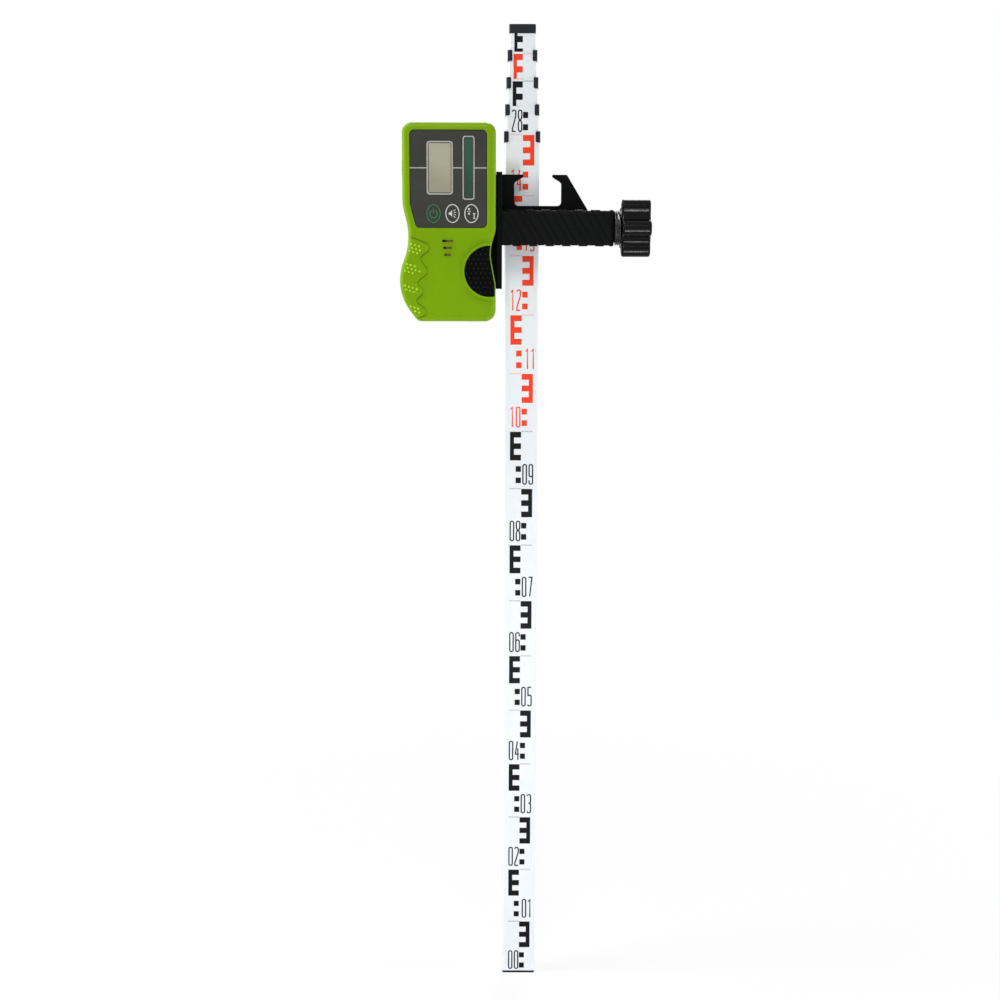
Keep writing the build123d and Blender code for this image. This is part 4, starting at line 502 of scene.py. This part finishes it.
def dashed_line(sheet, side, squeeze, mark, ink):
    """Slanted dashes that carry a block's top line across to the figures' side."""
    pitch = E_WIDTH / DASHES
    for dash in range(DASHES):
        reaches = (MIDDLE + pitch * (dash + DASH_START), MIDDLE + pitch * (dash + DASH_END))
        left, right = sorted((PRINT_SHIFT - side * reach) * squeeze for reach in reaches)
        slant = [(left, DASH_HEIGHT), (right, -DASH_HEIGHT), (right, 0.0), (left, 2 * DASH_HEIGHT)]
        sheet.polygon([(x, mark + rise) for x, rise in slant], ink)


def figures(sheet, label, side, squeeze, base, ink):
    """Two figures, on the left for an even number and on the right for an odd one."""
    gap = NARROW_GAP if label[0] == "1" else FIGURE_GAP
    start = FIGURES_LEFT
    if side < 0:
        start = FIGURES_RIGHT - figure_width(label[0]) - gap - figure_width(label[1])
    for figure in label:
        near = PRINT_SHIFT + start + FIGURE_STROKE / 2
        for points, closed in FIGURES[figure]:
            line = [((near + x * FIGURE_WIDTH) * squeeze, base + y * FIGURE_WIDTH) for x, y in points]
            sheet.stroke(line, FIGURE_STROKE * squeeze, ink, closed)
        start += figure_width(figure) + gap


def scale_block(sheet, number, foot, squeeze, low, high):
    """One decimetre block with its foot at a height, cut off at the ends of its section."""
    side = 1 if number % 2 == 0 else -1
    ink = (number // 10) % 2
    for outline in BLOCK_OUTLINES:
        placed = [((PRINT_SHIFT + side * x) * squeeze, foot + rise * CENTIMETRE) for x, rise in outline]
        placed = clip(clip(placed, low, 1), high, -1)
        if len(placed) > 2:
            sheet.polygon(placed, ink)
    mark = foot + BLOCK
    if low < mark < high:
        dashed_line(sheet, side, squeeze, mark, ink)
    base = foot + FIGURE_FOOT
    head = base + TOP * FIGURE_WIDTH
    if base - FIGURE_STROKE >= low and head + FIGURE_STROKE <= high:
        figures(sheet, f"{number:02d}", side, squeeze, base, ink)


for index, (body, shift) in enumerate(zip(STAFF_BODIES, SCALE_SHIFTS), start=1):
    low_corner, high_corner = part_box(f"section_{index}")
    squeeze = (high_corner.x - low_corner.x) / REFERENCE_WIDTH
    sheet = Print(low_corner.y, ("ink_black", "ink_red"))
    bottom, top = low_corner.z + CUT, high_corner.z - CUT
    first = math.floor((bottom + shift) / BLOCK)
    last = math.floor((top + shift) / BLOCK)
    for number in range(first, last + 1):
        scale_block(sheet, number, number * BLOCK - shift, squeeze, bottom, top)
    sheet.finish(f"scale_{index}", body, "staff_white")

# Receiver's panel: printed frames and reference line, and along its edge a navy line of painted shade for
# the gap around the panel, in millimetres from the case's own middle
RECEIVER_X, RECEIVER_Z = -0.11985, 1.355
GRADE = 87.9
REFERENCE_LINE = 1.7
FRAME_LINE = 2.1
GAP_SHADE_LINE = 1.0
INNER_ROUND = 0.6  # share of a frame's line by which its inner corners are tighter
LCD_LEFT, LCD_RIGHT, LCD_LOW, LCD_HIGH, LCD_ROUND = -36.0, 6.4, 45.3, 130.5, 5.0
SENSOR_LEFT, SENSOR_RIGHT, SENSOR_LOW, SENSOR_HIGH, SENSOR_ROUND = 22.4, 41.6, 37.2, 138.6, 4.0
GRADE_LEFT, GRADE_RIGHT = -63.4, 61.6
PANEL_CORNERS = ((-63.85, 148.35), (-63.85, 30.9), (-53.5, -7.95), (62.0, -7.95), (62.0, 148.35))
PANEL_ROUND = 8.0


def on_case(points):
    """From millimetres on the case to the frame."""
    return [(RECEIVER_X + x * MM, RECEIVER_Z + z * MM) for x, z in points]


def framed(sheet, outline, radius, line, inner_radius, ink=0):
    """A line along the inside of a rounded outline."""
    inner = rounded(inset(outline, line), inner_radius)
    sheet.band(on_case(rounded(outline, radius)), on_case(inner), ink)


panel_low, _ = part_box("front_panel")
panel_print_and_gap_shade = Print(panel_low.y, ("ink_grey", "navy_gap_shade"))
for outline, radius, line in (
    (corners(LCD_LEFT, LCD_RIGHT, LCD_LOW, LCD_HIGH), LCD_ROUND, FRAME_LINE),
    (corners(SENSOR_LEFT, SENSOR_RIGHT, SENSOR_LOW, SENSOR_HIGH), SENSOR_ROUND, REFERENCE_LINE),
):
    framed(panel_print_and_gap_shade, outline, radius, line, radius - INNER_ROUND * line)
for left, right in ((GRADE_LEFT, LCD_LEFT), (LCD_RIGHT, SENSOR_LEFT), (SENSOR_RIGHT, GRADE_RIGHT)):
    low, high = GRADE - REFERENCE_LINE / 2, GRADE + REFERENCE_LINE / 2
    panel_print_and_gap_shade.polygon(on_case(corners(left, right, low, high)))
# A navy line inside the panel's edge: painted shade of the gap between the panel and the case.
framed(panel_print_and_gap_shade, PANEL_CORNERS, PANEL_ROUND, GAP_SHADE_LINE, PANEL_ROUND - GAP_SHADE_LINE, ink=1)
panel_print_and_gap_shade.finish("panel_print_and_gap_shade", "clamp", "panel_dark")

# Keys: a ring and a sign on each. A sign is drawn in millimetres from its key's middle, as lines with
# a width and as filled shapes.
KEY_Z = 15.06
RING_ACROSS, RING_UP, RING_LINE = 10.85, 14.4, 1.5
RING_STEP = 9.0
FILLED = None
POWER_SIGN = (
    (arc((0.0, -0.6), 5.9, 6.4, 125, 415, step=13.0), 1.6),
    ([(0.0, -0.5), (0.0, 7.4)], 1.5),
)
SOUND_BEAM = 1.1
SOUND_SIGN = (
    ([(-6.4, -1.6), (-4.4, -1.6), (-0.6, -5.2), (-0.6, 5.2), (-4.4, 1.6), (-6.4, 1.6)], FILLED),
    ([(1.6, 4.0), (4.6, 6.2)], SOUND_BEAM),
    ([(2.2, 1.2), (5.8, 2.0)], SOUND_BEAM),
    ([(2.2, -1.4), (5.8, -2.4)], SOUND_BEAM),
    ([(1.6, -4.0), (4.6, -6.4)], SOUND_BEAM),
)
FINE_TICK = 1.0
PRECISION_SIGN = (
    ([(-6.2, 8.4), (-1.8, 8.4), (-4.0, 4.4)], FILLED),
    ([(-6.2, -1.4), (-4.0, 2.6), (-1.8, -1.4)], FILLED),
    ([(-6.8, 3.5), (-4.8, 3.5)], FINE_TICK),
    ([(-3.2, 3.5), (-1.2, 3.5)], FINE_TICK),
    ([(2.2, 0.6), (6.6, 0.6), (4.4, -2.8)], FILLED),
    ([(2.2, -8.2), (4.4, -4.8), (6.6, -8.2)], FILLED),
    ([(4.4, -2.0), (4.4, -5.6)], 1.6),
)
KEYS = {
    "power": (-25.09, "ink_green", POWER_SIGN),
    "sound": (5.79, "ink_white", SOUND_SIGN),
    "precision": (36.67, "ink_white", PRECISION_SIGN),
}
for name, (key_x, ink, sign) in KEYS.items():
    key_low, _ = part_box(name + "_button")
    sheet = Print(key_low.y, (ink,))
    ring = arc((key_x, KEY_Z), RING_ACROSS, RING_UP, 0, 360 - RING_STEP, RING_STEP)
    sheet.stroke(on_case(ring), RING_LINE * MM, closed=True)
    for points, line in sign:
        placed = on_case([(key_x + x, KEY_Z + z) for x, z in points])
        if line is FILLED:
            sheet.polygon(placed)
        else:
            sheet.stroke(placed, line * MM)
    sheet.finish(name + "_print", name + "_key", "panel_dark")


def dome(work, point, normal, radius, rise, sides, rings):
    """A low dome with a short skirt that reaches into the surface."""
    across = normal.orthogonal().normalized()
    other = normal.cross(across)
    loops = []
    for ring_index in range(rings + 1):
        angle = math.pi / 2 * max(ring_index - 1, 0) / rings
        height = rise * math.sin(angle) if ring_index else -rise / 2
        reach = radius * math.cos(angle)
        loop = []
        for step in range(sides):
            turn = 2 * math.pi * step / sides
            outwards = across * math.cos(turn) + other * math.sin(turn)
            loop.append(work.verts.new(point + normal * height + outwards * reach))
        loops.append(loop)
    top = work.verts.new(point + normal * rise)
    for lower, upper in zip(loops, loops[1:]):
        for step in range(sides):
            after = (step + 1) % sides
            work.faces.new((lower[step], lower[after], upper[after], upper[step]))
    for step in range(sides):
        work.faces.new((loops[-1][step], loops[-1][(step + 1) % sides], top))
    work.faces.new(loops[0][::-1])


# Paler tops of the dots on the thumb pad, set on its surface. A dot needs DOT_MARGIN radii of pad around
# it.
THUMB_DOT = 0.0011
THUMB_DOT_RISE = 0.0005
THUMB_PITCH = 0.0077
DOT_MARGIN = 2
PROBES = ((0, 0), (DOT_MARGIN, 0), (-DOT_MARGIN, 0), (0, DOT_MARGIN), (0, -DOT_MARGIN))
AHEAD = 0.05
BACKWARDS = Vector((0.0, 1.0, 0.0))


def surface(name):
    """Finds points on a CAD node's surface."""
    work = bmesh.new()
    work.from_mesh(nodes[name].data)
    tree = BVHTree.FromBMesh(work)
    work.free()
    return tree


pad_low, pad_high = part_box("thumb_pad")
pad = surface("thumb_pad")
dots = bmesh.new()
rows = int((pad_high.z - pad_low.z) / THUMB_PITCH)
columns = int((pad_high.x - pad_low.x) / THUMB_PITCH)
for row in range(rows + 1):
    for column in range(columns + 1):
        x = pad_low.x + (column + 0.5 * (row % 2)) * THUMB_PITCH
        z = pad_low.z + row * THUMB_PITCH
        hits = []
        for across, up in PROBES:
            start = Vector((x + across * THUMB_DOT, pad_low.y - AHEAD, z + up * THUMB_DOT))
            hits.append(pad.ray_cast(start, BACKWARDS))
        if all(hit[0] is not None for hit in hits):
            point, normal, _, _ = hits[0]
            dome(dots, point, normal, THUMB_DOT, THUMB_DOT_RISE, sides=10, rings=3)
add_piece("thumb_dots", dots, ("pale_dot_rubber",), "clamp", smooth=True)

# Paler tops of the dots on the finger grip, a painted highlight for the light their raised tops catch: for
# each finger the first dot in millimetres on the case, then for each row its first column and its number of
# dots
FINGER_DOTS = (
    ((-61.61, -34.13), ((0, 3), (0, 3), (-1, 3))),
    ((-69.08, -66.34), ((0, 3), (0, 4), (-1, 3))),
    ((-71.98, -101.44), ((0, 4), (0, 3))),
    ((-63.36, -135.25), ((0, 3), (1, 2))),
)
ALONG_ROW = (6.3, -1.9)
NEXT_ROW = (1.6, -6.4)
FINGER_DOT = 0.00185
FINGER_DOT_RISE = 0.00126
DOT_HEIGHT = 0.0012
FORWARDS = Vector((0.0, -1.0, 0.0))
case_low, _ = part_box("front_case")
finger_dots = bmesh.new()
for (first_x, first_z), rows in FINGER_DOTS:
    for row, (start, count) in enumerate(rows):
        for column in range(start, start + count):
            x = first_x + column * ALONG_ROW[0] + row * NEXT_ROW[0]
            z = first_z + column * ALONG_ROW[1] + row * NEXT_ROW[1]
            spot_x, spot_z = on_case([(x, z)])[0]
            spot = Vector((spot_x, case_low.y + DOT_HEIGHT, spot_z))
            dome(finger_dots, spot, FORWARDS, FINGER_DOT, FINGER_DOT_RISE, sides=16, rings=5)
add_piece("finger_dots", finger_dots, ("lime_dot_highlight",), "clamp", smooth=True)

# Speaker cloth inside the slots, in millimetres on the case
SLOT_X = -2.2
SLOTS = ((-29.17, 18.6), (-40.22, 15.3), (-51.28, 10.6))  # height and length of each
SLOT_WIDTH = 4.2
# The cloth stops short of the slots' left ends, so the black buzzer behind shows there: painted shade for
# the shadow of the slot walls.
CLOTH_LEFT = -4.6
CLOTH_DEPTH = 3.8
CLOTH_GAP = 0.1
cloth = Print(case_low.y + CLOTH_DEPTH * MM, ("speaker_cloth",))
for height, length in SLOTS:
    radius = SLOT_WIDTH / 2 - CLOTH_GAP
    right = SLOT_X + length / 2 - SLOT_WIDTH / 2
    end = arc((right, height), radius, radius, -90, 90)
    cloth.polygon(on_case([(CLOTH_LEFT, height - radius)] + end + [(CLOTH_LEFT, height + radius)]))
cloth.finish("speaker_cloth", "clamp", "buzzer_black")

# Floor and backdrop: white as seen, and a little less so at the foot, where the floor shows the shadow
HALF_FLOOR = 15.0
FLOOR_GREY = (0.86, 0.86, 0.86, 1.0)
GLOW_AT_FOOT = 0.86
FADE_START, FADE_END = 0.15, 1.6
AMBIENT = 0.1


def seen(tree):
    """1 for camera, glossy and transmission rays."""
    path = tree.nodes.new("ShaderNodeLightPath")
    total = path.outputs["Is Camera Ray"]
    for name in ("Is Glossy Ray", "Is Transmission Ray"):
        largest = tree.nodes.new("ShaderNodeMath")
        largest.operation = "MAXIMUM"
        tree.links.new(total, largest.inputs[0])
        tree.links.new(path.outputs[name], largest.inputs[1])
        total = largest.outputs[0]
    return total


def mix_into(tree, output, share, lit, shown):
    """Sends a mix of two shaders to an output."""
    blend = tree.nodes.new("ShaderNodeMixShader")
    tree.links.new(share, blend.inputs["Fac"])
    tree.links.new(lit.outputs[0], blend.inputs[1])
    tree.links.new(shown.outputs[0], blend.inputs[2])
    tree.links.new(blend.outputs[0], output.inputs["Surface"])


floor_mesh = bpy.data.meshes.new("floor")
floor_corners = corners(-HALF_FLOOR, HALF_FLOOR, -HALF_FLOOR, HALF_FLOOR)
floor_mesh.from_pydata([(x, y, 0.0) for x, y in floor_corners], [], [(0, 1, 2, 3)])
floor = bpy.data.objects.new("floor", floor_mesh)
scene.collection.objects.link(floor)
floor_white = bpy.data.materials.new("floor_white")
floor_white.use_nodes = True
tree = floor_white.node_tree
tree.nodes.clear()
ground = tree.nodes.new("ShaderNodeTexCoord")
distance = tree.nodes.new("ShaderNodeVectorMath")
distance.operation = "LENGTH"
tree.links.new(ground.outputs["Object"], distance.inputs[0])
fading = {"From Min": FADE_START, "From Max": FADE_END, "To Min": GLOW_AT_FOOT, "To Max": 1.0}
fade = add_node(tree, "ShaderNodeMapRange", fading)
tree.links.new(distance.outputs["Value"], fade.inputs["Value"])
share = tree.nodes.new("ShaderNodeMath")
share.operation = "MULTIPLY"
tree.links.new(seen(tree), share.inputs[0])
tree.links.new(fade.outputs["Result"], share.inputs[1])
matt = add_node(tree, "ShaderNodeBsdfDiffuse", {"Color": FLOOR_GREY})
glow = add_node(tree, "ShaderNodeEmission", {"Color": WHITE, "Strength": 1.0})
mix_into(tree, tree.nodes.new("ShaderNodeOutputMaterial"), share.outputs[0], matt, glow)
floor_mesh.materials.append(floor_white)

world = bpy.data.worlds.new("studio")
scene.world = world
world.use_nodes = True
tree = world.node_tree
tree.nodes.clear()
ambient = add_node(tree, "ShaderNodeBackground", {"Color": WHITE, "Strength": AMBIENT})
backdrop = add_node(tree, "ShaderNodeBackground", {"Color": WHITE, "Strength": 1.0})
mix_into(tree, tree.nodes.new("ShaderNodeOutputWorld"), seen(tree), ambient, backdrop)

# Lamps: place, target, size and power. The high one and the rim also light the staff when it is drawn out.
LAMPS = {
    "key": ((-0.35, -2.7, 2.6), (0.0, 0.0, 1.0), (1.2, 1.0), 9.0),
    "high": ((-0.5, -4.5, 5.5), (0.0, 0.0, 5.0), (1.6, 2.0), 120.0),
    "fill": ((0.5, -2.6, 0.45), (0.0, 0.0, 0.6), (1.2, 0.8), 6.0),
    "top": ((-1.8, -0.4, 4.4), (-0.1, -0.08, 1.4), (0.8, 0.8), 75.0),
    "left": ((-2.2, -0.2, 1.5), (-0.1, -0.08, 1.3), (0.6, 1.2), 25.0),
    "right": ((2.2, -0.2, 1.5), (0.1, -0.08, 1.3), (0.6, 1.2), 20.0),
    "strip": ((0.32, -1.29, 0.32), (0.19, -0.06, 1.35), (0.09, 0.45), 5.6),
    "rim": ((0.8, 3.5, 4.5), (0.0, 0.0, 3.0), (1.6, 2.0), 110.0),
}
for name, (place, target, size, power) in LAMPS.items():
    lamp_data = bpy.data.lights.new(name, "AREA")
    lamp_data.shape = "RECTANGLE"
    lamp_data.size, lamp_data.size_y = size
    lamp_data.energy = power
    lamp = bpy.data.objects.new(name, lamp_data)
    lamp.location = place
    lamp.rotation_euler = (Vector(target) - Vector(place)).to_track_quat("-Z", "Y").to_euler()
    scene.collection.objects.link(lamp)

# Camera at the photo's angle. The photo leans a little, so the camera is rolled.
CAMERA_PLACE = (-0.0367, -2.7421, 1.360)
CAMERA_DROP = 9.982
CAMERA_ROLL = -0.15
LENS, SENSOR_SIZE = 57.287, 36.0
camera_data = bpy.data.cameras.new("camera")
camera_data.sensor_width = SENSOR_SIZE
camera_data.lens = LENS
camera = bpy.data.objects.new("camera", camera_data)
camera.location = CAMERA_PLACE
camera.rotation_euler = (math.radians(90.0 - CAMERA_DROP), math.radians(CAMERA_ROLL), 0.0)
scene.collection.objects.link(camera)
scene.camera = camera
scene.view_settings.view_transform = "Standard"
